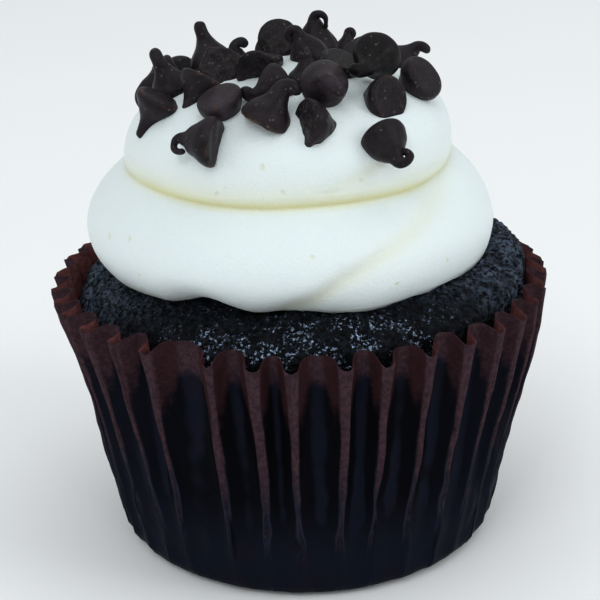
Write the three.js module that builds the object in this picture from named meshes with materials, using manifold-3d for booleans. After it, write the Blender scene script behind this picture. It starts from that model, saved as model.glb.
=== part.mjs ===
// A chocolate cupcake in its fluted paper case, with a two-turn swirl of frosting and chocolate drops.
// Millimetres, +Z up, front towards -Y. The origin is the middle of the case's underside.
// An azimuth is measured in degrees from the front, growing towards +X.
import * as THREE from "three";
import { mergeVertices } from "three/addons/utils/BufferGeometryUtils.js";
import Module from "manifold-3d";

const wasm = await Module();
wasm.setup();

// --- Driving dimensions -------------------------------------------------------------------------

const GAP = 0.3; // between neighbouring pieces

// Paper case: a flat round floor, a small corner and a leaning wall with pleats all the way up.
const CASE_HEIGHT = 38.1; // to the tips of the outer folds
const CASE_RIM_RADIUS = 36; // at the tips of the outer folds
const CASE_FLOOR_RADIUS = 25;
const CASE_CORNER = 3.6; // radius of the corner between floor and wall
const PAPER = 0.45;
const FOLD_DEPTH_RIM = 2.8; // from outer fold to inner fold
const FOLD_DEPTH_FOOT = 0.45;
const FOLD_DEPTH_POWER = 1.9; // how late up the wall the pleats open
const INNER_FOLD_RISE = 1.2; // the inner folds end higher than the outer ones
const RIM_UNEVEN = 0.35;
const OUTER_FOLD_HALF = 1.8; // degrees
const FLANK_TURN = 1.35; // degrees between an outer fold's edge and an inner fold's edge
const FOLD_LEAN = 2.4; // degrees that the left-hand inner folds lean forward at the rim
const FOLD_LEAN_AZIMUTH = -72; // the middle of the leaning folds
const FOLD_LEAN_HALF = 55;
const FLOOR_SHIFT = -0.25; // the case stands a little askew, so its floor and rim
const RIM_SHIFT = -0.64; // are shifted sideways by these amounts

// The outer folds were crimped by hand and stand unevenly.
const FOLD_AZIMUTHS = [
  -110, -101, -90, -81, -72, -64, -54, -44, -35, -20, -10, -2, 9, 18, 28, 38, 48, 57, 66,
  76, 86, 93, 103, 112, 122, 131, 141, 150, 159, 169, 178, 188, 197, 207, 216, 226, 235, 242,
];

// Soft dents and bulges of the wall: azimuth and half width in degrees, height and reach up and down
// from it, and the depth outwards.
const WALL_DENTS = [
  { azimuth: -33, half: 16, height: 40, reach: 22, out: -0.8 },
  { azimuth: -72, half: 34, height: 40, reach: 16, out: 0.3 },
  { azimuth: -90, half: 60, height: 23, reach: 17, out: -0.75 },
  { azimuth: 4, half: 26, height: 40, reach: 16, out: 0.35 },
  { azimuth: 80, half: 16, height: 41, reach: 8, out: -0.6 },
  { azimuth: 78, half: 55, height: 29, reach: 13, out: 0.5 },
];

// Cake: fills the case and domes above its rim, leaning to the right.
const CAKE_EDGE_HEIGHT = 37.4; // where the dome leaves the paper
const CAKE_DOME_RISE = 6.9; // from that edge to the crown
const CAKE_DOME_POWER = 2.6; // the dome is flat in the middle and
const CAKE_EDGE_POWER = 0.6; // rounds off towards its edge
const CAKE_OVERHANG = 1.2; // the dome's curve would end this far outside the cake's edge
const CAKE_LEAN = 1.1; // how far the dome stands to the right
const CAKE_HIGH_SIDE = { azimuth: 115, half: 120, rise: 2.1 }; // the right and back are higher
const CAKE_TUCKED_SIDE = { azimuth: -90, half: 70, share: 0.03 }; // the left stays inside the paper
const CRUMB = 0.38; // depth of the crumb's bumps
const CAKE_CLEAR = 0.55; // further room that the pleats' straight facets need
const CAKE_FLOOR_INSET = 1; // the cake's foot stands this far inside the case's flat floor

// Frosting: the lower and the upper lap of the swirl.
const FROSTING_SHIFT = -2; // the swirl stands a little to the left
const LOWER_RADIUS = 29.1;
const LOWER_WAIST = 47.3; // height of the lower lap's widest line
const LOWER_TUBE = 8.1; // width of the lower lap's round underside
const LOWER_DROP = 6.5; // from that line down to the underside's lowest line
const LOWER_SHOULDER = 14.6; // rise of the ellipse over the lower lap, which is
const SHOULDER_TO_RIGHT = 0.8; // higher by this much on the right and
const SHOULDER_TO_BACK = 1; // by this much at the back
const UPPER_RADIUS = 23.1;
const UPPER_WAIST = 57.4;
const UPPER_TUBE = 6.1;
const UPPER_DROP = 3.5;
const UPPER_RISE = 11.8; // from the upper lap's widest line to the top
const UPPER_LEAN = 0.8; // the top stands this far to the right of the lap's widest line
const UPPER_POWER = 2.5; // superellipse exponent of the upper lap
const SWIRL_RISE = 0.75; // the laps climb to the right
// The seam is the groove where the lower lap passes over the start of the rope. It climbs to the right.
const SEAM = { depth: 0.7, width: 1.6, azimuth: 6, height: 43, turn: 74, climb: 13 };
const SEAM_OVERRUN = 0.2; // share of its length over which it fades out at each end
// Slow waves round the lower lap: how many go round, and how far they stand out.
const SWAYS = [
  { waves: 3, out: 0.25 },
  { waves: 7, out: 0.15 },
];
const LOWER_PHASE = 40; // degrees by which the waves are turned on the lower lap
const UPPER_PHASE = 110; // and on the upper lap, where
const UPPER_CALM = 0.5; // they are this much weaker

// Chocolate drop: a flat round base, a swelling body and a thin tip that curls over.
const DROP_SIDES = 8;
const DENT_SIDES = 7;
const DENT_FROM = 0.4; // only drops pressed in at least this far leave a dent
const DROP_PROFILE = [
  [0, 0],
  [2.95, 0],
  [3.15, 0.5],
  [2.8, 2.0],
  [1.85, 3.7],
  [1.05, 5.1],
  [0.8, 6.4],
  [0.6, 7.6],
  [0, 8.0],
];
const CURL_START = 4.4; // height on the drop where its tip begins to curl
const CURL_RADIUS = 1.35;

// The dent that a drop presses into the frosting: its outline with room all round, simply drawn.
const DENT_PROFILE = [
  [0, -GAP],
  [3.75, -GAP],
  [3.7, 1.4],
  [2.35, 4.2],
  [1.4, 6.2],
  [1.1, 7.9],
  [0, 8.5],
];

const COLOURS = {
  paper: 0x2f1f24,
  cake: 0x121214,
  frosting: 0xeef3ea,
  chocolate: 0x2a2024,
};

// --- Shared helpers -----------------------------------------------------------------------------

const radians = THREE.MathUtils.degToRad;
const mix = THREE.MathUtils.lerp;
const clamp01 = (value) => THREE.MathUtils.clamp(value, 0, 1);

// A smooth hill of height 1 in the middle, gone at its half width.
function hill(away, half) {
  return Math.abs(away) < half ? 0.5 + 0.5 * Math.cos((Math.PI * away) / half) : 0;
}

// The same hill round the upright axis, whichever way round the azimuth is counted.
const bump = (azimuth, centre, half) => hill(((azimuth - centre + 900) % 360) - 180, half);
const bumpAt = (azimuth, side) => bump(azimuth, side.azimuth, side.half);
const azimuthOf = (x, y) => THREE.MathUtils.radToDeg(Math.atan2(x, -y));

// A repeatable draw from -1 to 1 for a pair of whole numbers.
function draw(first, second) {
  const wave = Math.sin(first * 127.1 + second * 311.7 + 17.3) * 43758.5453;
  return 2 * (wave - Math.floor(wave)) - 1;
}

function polar(azimuth, radius, height) {
  const angle = radians(azimuth);
  return new THREE.Vector3(radius * Math.sin(angle), -radius * Math.cos(angle), height);
}

// Joins the points of a lathe's seam and poles and drops the faces that close up to a line.
function closed(geometry) {
  geometry.deleteAttribute("normal");
  geometry.deleteAttribute("uv");
  const merged = mergeVertices(geometry, 1e-4);
  const kept = [];
  const index = merged.index.array;
  for (let i = 0; i < index.length; i += 3) {
    const [a, b, c] = index.slice(i, i + 3);
    if (a !== b && b !== c && c !== a) {
      kept.push(a, b, c);
    }
  }
  merged.setIndex(kept);
  merged.computeVertexNormals();
  return merged;
}

// Turns a profile of [radius, height] pairs about the upright axis. place(column, row) then gives the
// final position of each point, where column 0 is at the front.
function turned(profile, columns, place) {
  const outline = profile.map(([radius, height]) => new THREE.Vector2(radius, height));
  const shape = new THREE.LatheGeometry(outline, columns);
  const points = shape.getAttribute("position");
  for (let i = 0; i < points.count; i += 1) {
    const column = Math.floor(i / profile.length) % columns;
    const target = place(column, i % profile.length);
    points.setXYZ(i, target.x, target.y, target.z);
  }
  return closed(shape);
}

function named(name, geometry, colour, roughness) {
  const material = new THREE.MeshStandardMaterial({
    color: colour,
    roughness,
    metalness: 0,
    flatShading: true,
  });
  const mesh = new THREE.Mesh(geometry, material);
  mesh.name = name;
  return mesh;
}

// --- Paper case ---------------------------------------------------------------------------------

const FOLDS = FOLD_AZIMUTHS.length;
const COLUMNS_PER_FOLD = 4;
const FLANK_SHARE = 0.6; // how much of the paper's thickness the steep flanks keep sideways
const CASE_COLUMNS = FOLDS * COLUMNS_PER_FOLD;
const WALL_FOOT_RADIUS = CASE_FLOOR_RADIUS + CASE_CORNER;

const wallShare = (height) => clamp01((height - CASE_CORNER) / (CASE_HEIGHT - CASE_CORNER));
const wallRadius = (height) => mix(WALL_FOOT_RADIUS, CASE_RIM_RADIUS, wallShare(height));

function foldDepth(height) {
  return mix(FOLD_DEPTH_FOOT, FOLD_DEPTH_RIM, wallShare(height) ** FOLD_DEPTH_POWER);
}

function wallBulge(azimuth, height) {
  return WALL_DENTS.reduce((sum, dent) => {
    return sum + dent.out * bumpAt(azimuth, dent) * hill(height - dent.height, dent.reach);
  }, 0);
}

// One corner point of the pleated wall, set inwards by inset. Each fold has four columns: the two
// edges of its outer fold and the two edges of the inner fold that follows it.
function wallPoint(column, height, inset) {
  const fold = Math.floor(column / COLUMNS_PER_FOLD);
  const corner = column % COLUMNS_PER_FOLD;
  const here = FOLD_AZIMUTHS[fold];
  const next = fold + 1 < FOLDS ? FOLD_AZIMUTHS[fold + 1] : FOLD_AZIMUTHS[0] + 360;
  const middle = (here + next) / 2;
  const outer = corner < 2;
  const side = corner % 2 === 0 ? -1 : 1;
  const radius = wallRadius(height) + wallBulge(middle, height) - (outer ? 0 : foldDepth(height));
  const insetTurn = THREE.MathUtils.radToDeg((FLANK_SHARE * inset) / radius);
  const innerHalf = (next - here) / 2 - OUTER_FOLD_HALF - FLANK_TURN;
  const lean = FOLD_LEAN * bump(middle, FOLD_LEAN_AZIMUTH, FOLD_LEAN_HALF) * wallShare(height) ** 2;
  const azimuth = outer
    ? here + side * (OUTER_FOLD_HALF - insetTurn)
    : middle + lean + side * (innerHalf + insetTurn);
  return { azimuth, radius: radius - inset, outer, fold };
}

// The rim is nearly level along the slanted paper, so inner folds end higher than outer ones.
function rimHeight(outer, fold) {
  const uneven = RIM_UNEVEN * draw(fold, outer ? 1 : 2);
  return CASE_HEIGHT + uneven + (outer ? 0 : INNER_FOLD_RISE);
}

function shifted(azimuth, radius, height) {
  const point = polar(azimuth, radius, height);
  point.x += mix(FLOOR_SHIFT, RIM_SHIFT, height / CASE_HEIGHT);
  return point;
}

const WALL_HEIGHTS = [12, 25];

function paperCase() {
  const cornerMiddle = {
    radius: CASE_FLOOR_RADIUS + CASE_CORNER * Math.sin(Math.PI / 4),
    height: CASE_CORNER * (1 - Math.cos(Math.PI / 4)),
  };
  const outside = [
    [0, 0],
    [CASE_FLOOR_RADIUS, 0],
    [cornerMiddle.radius, cornerMiddle.height],
    [WALL_FOOT_RADIUS, CASE_CORNER],
    ...WALL_HEIGHTS.map((height) => [wallRadius(height), height]),
    [CASE_RIM_RADIUS, CASE_HEIGHT],
  ];
  const inside = [
    [CASE_RIM_RADIUS - PAPER, CASE_HEIGHT],
    ...WALL_HEIGHTS.toReversed().map((height) => [wallRadius(height) - PAPER, height]),
    [WALL_FOOT_RADIUS - PAPER, CASE_CORNER],
    [cornerMiddle.radius - PAPER, cornerMiddle.height + PAPER],
    [CASE_FLOOR_RADIUS, PAPER],
    [0, PAPER],
  ];
  const profile = [...outside, ...inside];
  const rimRows = [outside.length - 1, outside.length];
  return turned(profile, CASE_COLUMNS, (column, row) => {
    const [radius, height] = profile[row];
    const inset = row < outside.length ? 0 : PAPER;
    const corner = wallPoint(column, Math.max(height, CASE_CORNER), inset);
    if (rimRows.includes(row)) {
      return shifted(corner.azimuth, corner.radius, rimHeight(corner.outer, corner.fold));
    }
    if (height >= CASE_CORNER) {
      return shifted(corner.azimuth, corner.radius, height);
    }
    const relief = (FOLD_DEPTH_FOOT * (height - inset)) / CASE_CORNER;
    return shifted(corner.azimuth, Math.max(0, radius - (corner.outer ? 0 : relief)), height);
  });
}

// --- Cake ---------------------------------------------------------------------------------------

const CAKE_COLUMNS = 57;
const CAKE_SIDE_HEIGHTS = [4, 12, 25, 32];
const CAKE_EDGE_DROP = 1; // from the dome's first row down to the top of the cake's side
const DOME_INSETS = [0, 0.9, 2.2, 3.7, 5.3, 11.8]; // of the dome's rows from the cake's edge
const FOLD_REACH = 5; // degrees to each side from which a dent of the wall reaches the cake
const DOME_SHOWS = 6; // the crumb shows only this far in from the edge, and is smooth under the frosting
const cakeWallRadius = (height) => wallRadius(height) - foldDepth(height) - PAPER - GAP - CAKE_CLEAR;
const CAKE_EDGE_RADIUS = cakeWallRadius(CAKE_EDGE_HEIGHT);

// Height of the smooth dome over a point of the plan.
function domeHeight(x, y) {
  const radius = Math.hypot(x - CAKE_LEAN, y);
  const share = clamp01(radius / (CAKE_EDGE_RADIUS + CAKE_OVERHANG));
  const tilt = CAKE_HIGH_SIDE.rise * bumpAt(azimuthOf(x, y), CAKE_HIGH_SIDE) * share;
  const rise = (1 - share ** CAKE_DOME_POWER) ** CAKE_EDGE_POWER;
  return CAKE_EDGE_HEIGHT + CAKE_DOME_RISE * rise + tilt;
}

function cake() {
  const floor = PAPER + GAP;
  const side = CAKE_SIDE_HEIGHTS.map((height) => [cakeWallRadius(height), height]);
  const domeRadii = DOME_INSETS.map((inset) => CAKE_EDGE_RADIUS - inset);
  const profile = [
    [0, floor],
    [CASE_FLOOR_RADIUS - CAKE_FLOOR_INSET, floor],
    ...side,
    [CAKE_EDGE_RADIUS, CAKE_EDGE_HEIGHT - CAKE_EDGE_DROP],
    ...domeRadii.map((radius) => [radius, CAKE_EDGE_HEIGHT]),
    [0, CAKE_EDGE_HEIGHT],
  ];
  const firstDomeRow = profile.length - domeRadii.length - 1;
  return turned(profile, CAKE_COLUMNS, (column, row) => {
    const azimuth = (360 * column) / CAKE_COLUMNS;
    const [radius, height] = profile[row];
    const bulges = [-FOLD_REACH, 0, FOLD_REACH].map((turn) => wallBulge(azimuth + turn, height));
    const fitted = radius > 0 ? radius + Math.min(0, ...bulges) : 0;
    if (row < firstDomeRow) {
      return shifted(azimuth, fitted, height);
    }
    const shows = radius > CAKE_EDGE_RADIUS - DOME_SHOWS ? 1 : 0;
    const tuck = 1 - CAKE_TUCKED_SIDE.share * bumpAt(azimuth, CAKE_TUCKED_SIDE);
    const rough = fitted * tuck - shows * 0.5 * CRUMB * Math.abs(draw(column, row));
    const point = shifted(azimuth, rough, CAKE_EDGE_HEIGHT);
    const top = domeHeight(point.x, point.y);
    return point.setZ(top + shows * CRUMB * draw(column, row + profile.length));
  });
}

// --- Frosting -----------------------------------------------------------------------------------

const FROSTING_COLUMNS = 60;
const FACET_ROOM = 0.1; // the flat facets of cake and frosting come this much closer than their points

// Depth of the seam's groove at a place on the lower lap.
function seamGroove(azimuth, height) {
  const along = (azimuth - SEAM.azimuth) / SEAM.turn;
  if (along < -SEAM_OVERRUN || along > 1 + SEAM_OVERRUN) {
    return 0;
  }
  const away = (height - SEAM.height - SEAM.climb * along) / SEAM.width;
  const fade = Math.sin((Math.PI * (along + SEAM_OVERRUN)) / (1 + 2 * SEAM_OVERRUN));
  return SEAM.depth * Math.sqrt(Math.max(0, fade)) * Math.exp(-away * away);
}

const climb = (azimuth) => SWIRL_RISE * Math.sin(radians(azimuth));
const sway = (azimuth, phase) =>
  SWAYS.reduce((sum, { waves, out }) => sum + out * Math.sin(radians(waves * (azimuth + phase))), 0);

function shoulderRise(azimuth) {
  const turn = radians(azimuth);
  return LOWER_SHOULDER + SHOULDER_TO_RIGHT * Math.sin(turn) - SHOULDER_TO_BACK * Math.cos(turn);
}

// Radius of the lower lap's top at a height above its widest line.
function lowerRadius(azimuth, height) {
  const share = clamp01((height - LOWER_WAIST) / shoulderRise(azimuth));
  return LOWER_RADIUS * Math.sqrt(1 - share * share);
}

// Radius of the upper lap's rounded underside at a height below its widest line.
function upperUnderside(azimuth, height) {
  const share = clamp01((UPPER_WAIST + climb(azimuth) - height) / UPPER_DROP);
  return UPPER_RADIUS - UPPER_TUBE + UPPER_TUBE * Math.sqrt(1 - share * share);
}

const HALVINGS = 30;

// The crease between the laps, found by halving.
function creaseHeight(azimuth) {
  let low = LOWER_WAIST;
  let high = UPPER_WAIST + climb(azimuth);
  for (let i = 0; i < HALVINGS; i += 1) {
    const middle = (low + high) / 2;
    if (lowerRadius(azimuth, middle) > upperUnderside(azimuth, middle)) {
      low = middle;
    } else {
      high = middle;
    }
  }
  return low;
}

const LEAN_STEPS = 4;

// Height of the upper lap's top over a point of the plan, for the drops that lie on it. The lean and
// the height depend on each other, so they are worked out in a few steps.
function frostingTop(x, y) {
  let rise = 1;
  let share = 0;
  let across = 0;
  for (let i = 0; i < LEAN_STEPS; i += 1) {
    across = x - FROSTING_SHIFT - UPPER_LEAN * rise;
    share = Math.hypot(across, y) / UPPER_RADIUS;
    rise = share < 1 ? (1 - share ** UPPER_POWER) ** (1 / UPPER_POWER) : 0;
  }
  const waist = UPPER_WAIST + climb(azimuthOf(across, y)) * share;
  return share < 1 ? waist + UPPER_RISE * rise : LOWER_WAIST;
}

const UNDERSIDE_RADIUS = 13; // inner edge of the rope's underside, over the middle of the cake
const LOWER_TURNS = [-62, -42, -20, 0];
const SHOULDER_SHARES = [0.3, 0.56, 0.8, 1];
const UPPER_TOP_TURNS = [0, 18, 36, 52, 68, 80];

// One column of the swirl's outline as [radius, height] pairs, from the underside's middle to the top.
function swirlColumn(azimuth) {
  const crease = creaseHeight(azimuth);
  const underside = LOWER_TURNS.map((turn) => {
    const angle = radians(turn);
    const radius = LOWER_RADIUS - LOWER_TUBE + LOWER_TUBE * Math.cos(angle);
    return [radius + sway(azimuth, LOWER_PHASE), LOWER_WAIST + LOWER_DROP * Math.sin(angle)];
  });
  const shoulder = SHOULDER_SHARES.map((share) => {
    const height = mix(LOWER_WAIST, crease, share);
    const soft = (1 - share) * sway(azimuth, LOWER_PHASE);
    return [lowerRadius(azimuth, height) + soft - seamGroove(azimuth, height), height];
  });
  const under = (crease + UPPER_WAIST + climb(azimuth)) / 2;
  const upper = UPPER_TOP_TURNS.map((turn) => {
    const angle = radians(turn);
    const share = Math.cos(angle) ** (2 / UPPER_POWER);
    const waist = UPPER_WAIST + climb(azimuth) * share;
    const rise = UPPER_RISE * Math.sin(angle) ** (2 / UPPER_POWER);
    return [(UPPER_RADIUS + UPPER_CALM * sway(azimuth, UPPER_PHASE)) * share, waist + rise];
  });
  return [
    [0, 0],
    [UNDERSIDE_RADIUS, 0],
    ...underside,
    ...shoulder,
    [upperUnderside(azimuth, under), under],
    ...upper,
    [0, UPPER_WAIST + UPPER_RISE],
  ];
}

function frosting() {
  const columns = Array.from({ length: FROSTING_COLUMNS }, (_, column) =>
    swirlColumn((360 * column) / FROSTING_COLUMNS),
  );
  const undersideRows = 2 + LOWER_TURNS.length;
  return turned(columns[0], FROSTING_COLUMNS, (column, row) => {
    const [radius, height] = columns[column][row];
    const point = polar((360 * column) / FROSTING_COLUMNS, radius, height);
    const risen = clamp01((height - UPPER_WAIST) / UPPER_RISE);
    point.x += FROSTING_SHIFT + UPPER_LEAN * risen;
    const clearance = domeHeight(point.x, point.y) + GAP + CRUMB + FACET_ROOM;
    return row < undersideRows ? point.setZ(Math.max(point.z, clearance)) : point;
  });
}

// --- Chocolate drops ----------------------------------------------------------------------------

// Bends a point of the drop along its curling axis; curl is the tip's turn in radians per mm.
function curled(point, curl) {
  const past = point.z - CURL_START;
  if (past <= 0 || curl === 0) {
    return point;
  }
  const bendRadius = CURL_RADIUS / curl;
  const angle = past / bendRadius;
  const across = bendRadius - (bendRadius + point.y) * Math.cos(angle);
  const along = CURL_START + (bendRadius + point.y) * Math.sin(angle);
  return new THREE.Vector3(point.x, -across, along);
}

// size scales the whole drop, curl how tightly its tip curls, and stub keeps only that share of its
// height.
function dropShape({ size = 1, curl = 1, stub = 1 }, profile = DROP_PROFILE, sides = DROP_SIDES) {
  return turned(profile, sides, (column, row) => {
    const [radius, height] = profile[row];
    return curled(polar((360 * column) / sides, radius, height * stub), curl).multiplyScalar(size);
  });
}

// Where each drop lies: x and y of its base's middle, the azimuth its tip leans to, the lean from
// upright, the turn of its curl about its own axis, and its lift off the frosting by drops under it.
// A negative lift is pressed into the frosting.
const DROPS = [
  { x: -12.5, y: 5, to: -105, lean: 18, roll: -160, lift: 0, curl: 0.2, stub: 0.8 },
  { x: -17.5, y: -2.5, to: -100, lean: 24, roll: -70, lift: -1.2, curl: 0.7, stub: 0.88 },
  { x: -17.5, y: 4.5, to: -75, lean: 110, roll: 40, lift: -2.6, curl: 0.7 },
  { x: -19, y: -8.5, to: -90, lean: 152, roll: -180, lift: -1.5, curl: 0, stub: 0.8 },
  { x: -13.2, y: -8, to: -50, lean: 147, roll: 0, lift: -2, size: 0.92, curl: 0, stub: 0.85 },
  { x: -11, y: -14.5, to: 125, lean: 155, roll: -130, lift: -4.8, curl: 0.8 },
  { x: -10.8, y: -4, to: -175, lean: 130, roll: 5, lift: -1.7, size: 0.95, curl: 0, stub: 0.6 },
  { x: -8.5, y: 10, to: -115, lean: 15, roll: -150, lift: -3.3, size: 0.85, curl: 1.3 },
  { x: -5.5, y: 0, to: 0, lean: 175, roll: 90, lift: -6.7, curl: 0 },
  { x: -3.2, y: 7.5, to: 175, lean: 120, roll: 0, lift: -0.8, size: 0.93, curl: 0 },
  { x: 1.5, y: 3.2, to: -80, lean: 25, roll: -10, lift: -1.6, size: 0.9, curl: 1 },
  { x: 2.5, y: 11, to: -90, lean: 5, roll: 155, lift: -0.9, curl: 1.3 },
  { x: 6.8, y: 14.5, to: 130, lean: 5, roll: -45, lift: -1.9, size: 0.85, curl: 1.1, stub: 0.9 },
  { x: 7.5, y: 0, to: 120, lean: 140, roll: -145, lift: -4, curl: 0 },
  { x: 10.5, y: -7.5, to: -20, lean: 100, roll: -85, lift: 0.5, size: 1.05, curl: 1.2, stub: 0.92 },
  { x: 13.2, y: 5.5, to: 85, lean: 50, roll: 0, lift: -2.1, size: 0.9, curl: 1.2, stub: 0.88 },
  { x: 17, y: -6.5, to: -125, lean: 130, roll: 130, lift: -4.9, size: 1.02, curl: 0 },
  { x: 11.8, y: -14, to: -140, lean: 105, roll: 15, lift: -3.7, curl: 0 },
  { x: 10.2, y: -18.2, to: 30, lean: 122, roll: 120, lift: -3.8, curl: 1.3 },
  { x: 0.3, y: -19.5, to: 115, lean: 105, roll: -40, lift: -3.2, size: 1.05, curl: 1.2, stub: 0.85 },
  { x: 3, y: -13.5, to: 5, lean: 70, roll: 45, lift: -1.1 },
  { x: -5, y: -18, to: 105, lean: 30, roll: -20, lift: -3.2, size: 1.08, stub: 0.9 },
  { x: -6, y: -7, to: 168, lean: 78, roll: 0, lift: -2.1, size: 0.95, curl: 0, stub: 0.5 },
  { x: -2.5, y: -10.5, to: -57, lean: 104, roll: -160, lift: -2.5, size: 0.95, curl: 1.1, stub: 0.85 },
  { x: 1, y: -8.5, to: -90, lean: 5, roll: 0, lift: -0.7, size: 0.95, curl: 0.9, stub: 0.8 },
  { x: 5.8, y: -5.1, to: -125, lean: 155, roll: 100, lift: -5.4, size: 0.95, curl: 0 },
  { x: -11, y: -20, to: -110, lean: 88, roll: 30, lift: -3.1, size: 1.05, curl: 1.3, stub: 0.9 },
  { x: -17.5, y: 11.5, to: -140, lean: 80, roll: 60, lift: -2, size: 0.95 },
  { x: -10.5, y: 18.5, to: -160, lean: 105, roll: -40, lift: -3.6, size: 1.02, curl: 0.8 },
  { x: -4, y: 16, to: 165, lean: 95, roll: 110, lift: -3, curl: 0.9 },
  { x: -2.5, y: 21.5, to: -175, lean: 60, roll: 20, lift: -3.4, size: 0.98 },
  { x: 2.8, y: 18.8, to: 120, lean: 100, roll: -120, lift: -3.2, size: 0.95, curl: 1.1 },
  { x: 10, y: 20, to: 150, lean: 95, roll: 35, lift: -4.4, size: 1.02 },
  { x: 14, y: 13, to: 170, lean: 85, roll: 75, lift: -3.4, curl: 0.7 },
];

// Lowers a drop until its lowest point lies at the wanted height off the frosting.
function settled(mesh, lift) {
  mesh.updateMatrixWorld(true);
  const points = mesh.geometry.getAttribute("position");
  const point = new THREE.Vector3();
  let clearance = Infinity;
  for (let i = 0; i < points.count; i += 1) {
    point.fromBufferAttribute(points, i).applyMatrix4(mesh.matrixWorld);
    clearance = Math.min(clearance, point.z - frostingTop(point.x, point.y));
  }
  mesh.position.z += GAP + lift - clearance;
}

function chocolateDrop(place, number) {
  const name = `chip_${String(number + 1).padStart(2, "0")}`;
  const mesh = named(name, dropShape(place), COLOURS.chocolate, 0.5);
  mesh.position.set(place.x, place.y, UPPER_WAIST + UPPER_RISE);
  mesh.rotateZ(radians(place.to));
  mesh.rotateX(radians(place.lean));
  mesh.rotateZ(radians(place.roll));
  settled(mesh, place.lift);
  return mesh;
}

// --- Joining and cutting ------------------------------------------------------------------------

function solidOf(geometry) {
  return new wasm.Manifold(
    new wasm.Mesh({
      numProp: 3,
      vertProperties: geometry.getAttribute("position").array,
      triVerts: new Uint32Array(geometry.index.array),
    }),
  );
}

function geometryOf(solid) {
  const mesh = solid.getMesh();
  const geometry = new THREE.BufferGeometry();
  geometry.setAttribute("position", new THREE.BufferAttribute(mesh.vertProperties, 3));
  geometry.setIndex(new THREE.BufferAttribute(mesh.triVerts, 1));
  geometry.computeVertexNormals();
  return geometry;
}

// The frosting with a dent, one gap wide, round each drop that is pressed into it.
function dented(geometry, drops) {
  let solid = solidOf(geometry);
  drops.forEach((drop, number) => {
    if (DROPS[number].lift <= -DENT_FROM) {
      drop.updateMatrixWorld(true);
      const dent = dropShape(DROPS[number], DENT_PROFILE, DENT_SIDES);
      solid = solid.subtract(solidOf(dent.applyMatrix4(drop.matrixWorld)));
    }
  });
  const bodies = solid.decompose();
  bodies.sort((first, second) => second.volume() - first.volume());
  return geometryOf(bodies[0]);
}

// --- Assembly -----------------------------------------------------------------------------------

const group = new THREE.Group();
group.add(named("paper_case", paperCase(), COLOURS.paper, 0.7));
group.add(named("cake", cake(), COLOURS.cake, 0.6));
const drops = DROPS.map(chocolateDrop);
group.add(named("frosting", dented(frosting(), drops), COLOURS.frosting, 0.6));
group.add(...drops);

export default group;
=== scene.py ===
"""A chocolate cupcake in its fluted paper case, with a two-turn frosting swirl and chocolate drops.

Shapes are worked out in millimetres, +Z up, front towards -Y, and set into the meshes in metres.
An azimuth is measured in degrees from the front, growing towards +X.
"""
import math

import bpy
from mathutils import Matrix, Vector, noise


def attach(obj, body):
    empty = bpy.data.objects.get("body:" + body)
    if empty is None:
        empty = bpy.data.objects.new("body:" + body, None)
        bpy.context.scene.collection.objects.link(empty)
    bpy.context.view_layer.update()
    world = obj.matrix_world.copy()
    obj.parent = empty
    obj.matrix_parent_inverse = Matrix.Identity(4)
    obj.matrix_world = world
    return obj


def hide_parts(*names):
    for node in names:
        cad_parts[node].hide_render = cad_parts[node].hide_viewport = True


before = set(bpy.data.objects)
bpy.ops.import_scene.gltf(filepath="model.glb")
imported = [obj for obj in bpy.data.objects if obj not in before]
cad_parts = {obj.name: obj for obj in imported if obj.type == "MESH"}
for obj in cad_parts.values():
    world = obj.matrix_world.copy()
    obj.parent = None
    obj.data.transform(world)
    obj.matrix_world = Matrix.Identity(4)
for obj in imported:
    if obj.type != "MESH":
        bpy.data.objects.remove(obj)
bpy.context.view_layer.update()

bl_info = {
    "name": "Cupcake",
    "version": (1, 0, 0),
    "blender": (4, 5, 0),
    "location": "3D View > Sidebar > Cupcake",
    "description": "Paper case, cake, frosting swirl, chocolate drops and the stage they stand on",
    "category": "Object",
}

MM = 0.001
CASE_HEIGHT = 38.1


# --- Settings ---


def length(name, description, millimetres):
    return bpy.props.FloatProperty(
        name=name, description=description, default=millimetres * MM, min=0, precision=5,
        subtype="DISTANCE", unit="LENGTH",
    )


def colour(name, description, red, green, blue):
    return bpy.props.FloatVectorProperty(
        name=name, description=description, default=(red, green, blue, 1), size=4, min=0, max=1,
        subtype="COLOR",
    )


class CaseSettings(bpy.types.PropertyGroup):
    height: length("Height", "Height of the outer folds' tips", CASE_HEIGHT)
    rim_radius: length("Rim radius", "Radius at the tips of the outer folds", 36)
    floor_radius: length("Floor radius", "Radius of the flat floor", 25)
    corner: length("Corner", "Radius of the corner between floor and wall", 3.6)
    fold_depth: length("Fold depth", "From outer to inner fold at the rim", 2.8)
    paper: length("Paper", "Thickness of the paper", 0.18)
    dry: colour("Dry paper", "Colour of the paper near the rim", 0.035, 0.0205, 0.0262)
    greased: colour("Greased paper", "Colour where the paper lies on the cake", 0.0058, 0.0076, 0.0142)


class CakeSettings(bpy.types.PropertyGroup):
    edge_height: length("Edge height", "Height where the dome leaves the paper", 37.4)
    dome_rise: length("Dome rise", "From that edge to the crown", 6.9)
    crumb: length("Crumb relief", "Depth of the crumb's relief", 0.6)
    dark: colour("Crumb", "Colour of the crumb", 0.0032, 0.0033, 0.0042)
    # The pale crumb colour is painted sheen, blue-grey like the bluish light.
    pale: colour("Pale crumb", "Colour of the painted sheen on the crumb", 0.082, 0.110, 0.158)
    # The glints' colour is a painted highlight.
    painted_glint: colour("Painted glints", "Colour of the glints on the greasy crumb", 0.42, 0.54, 0.76)


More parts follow.
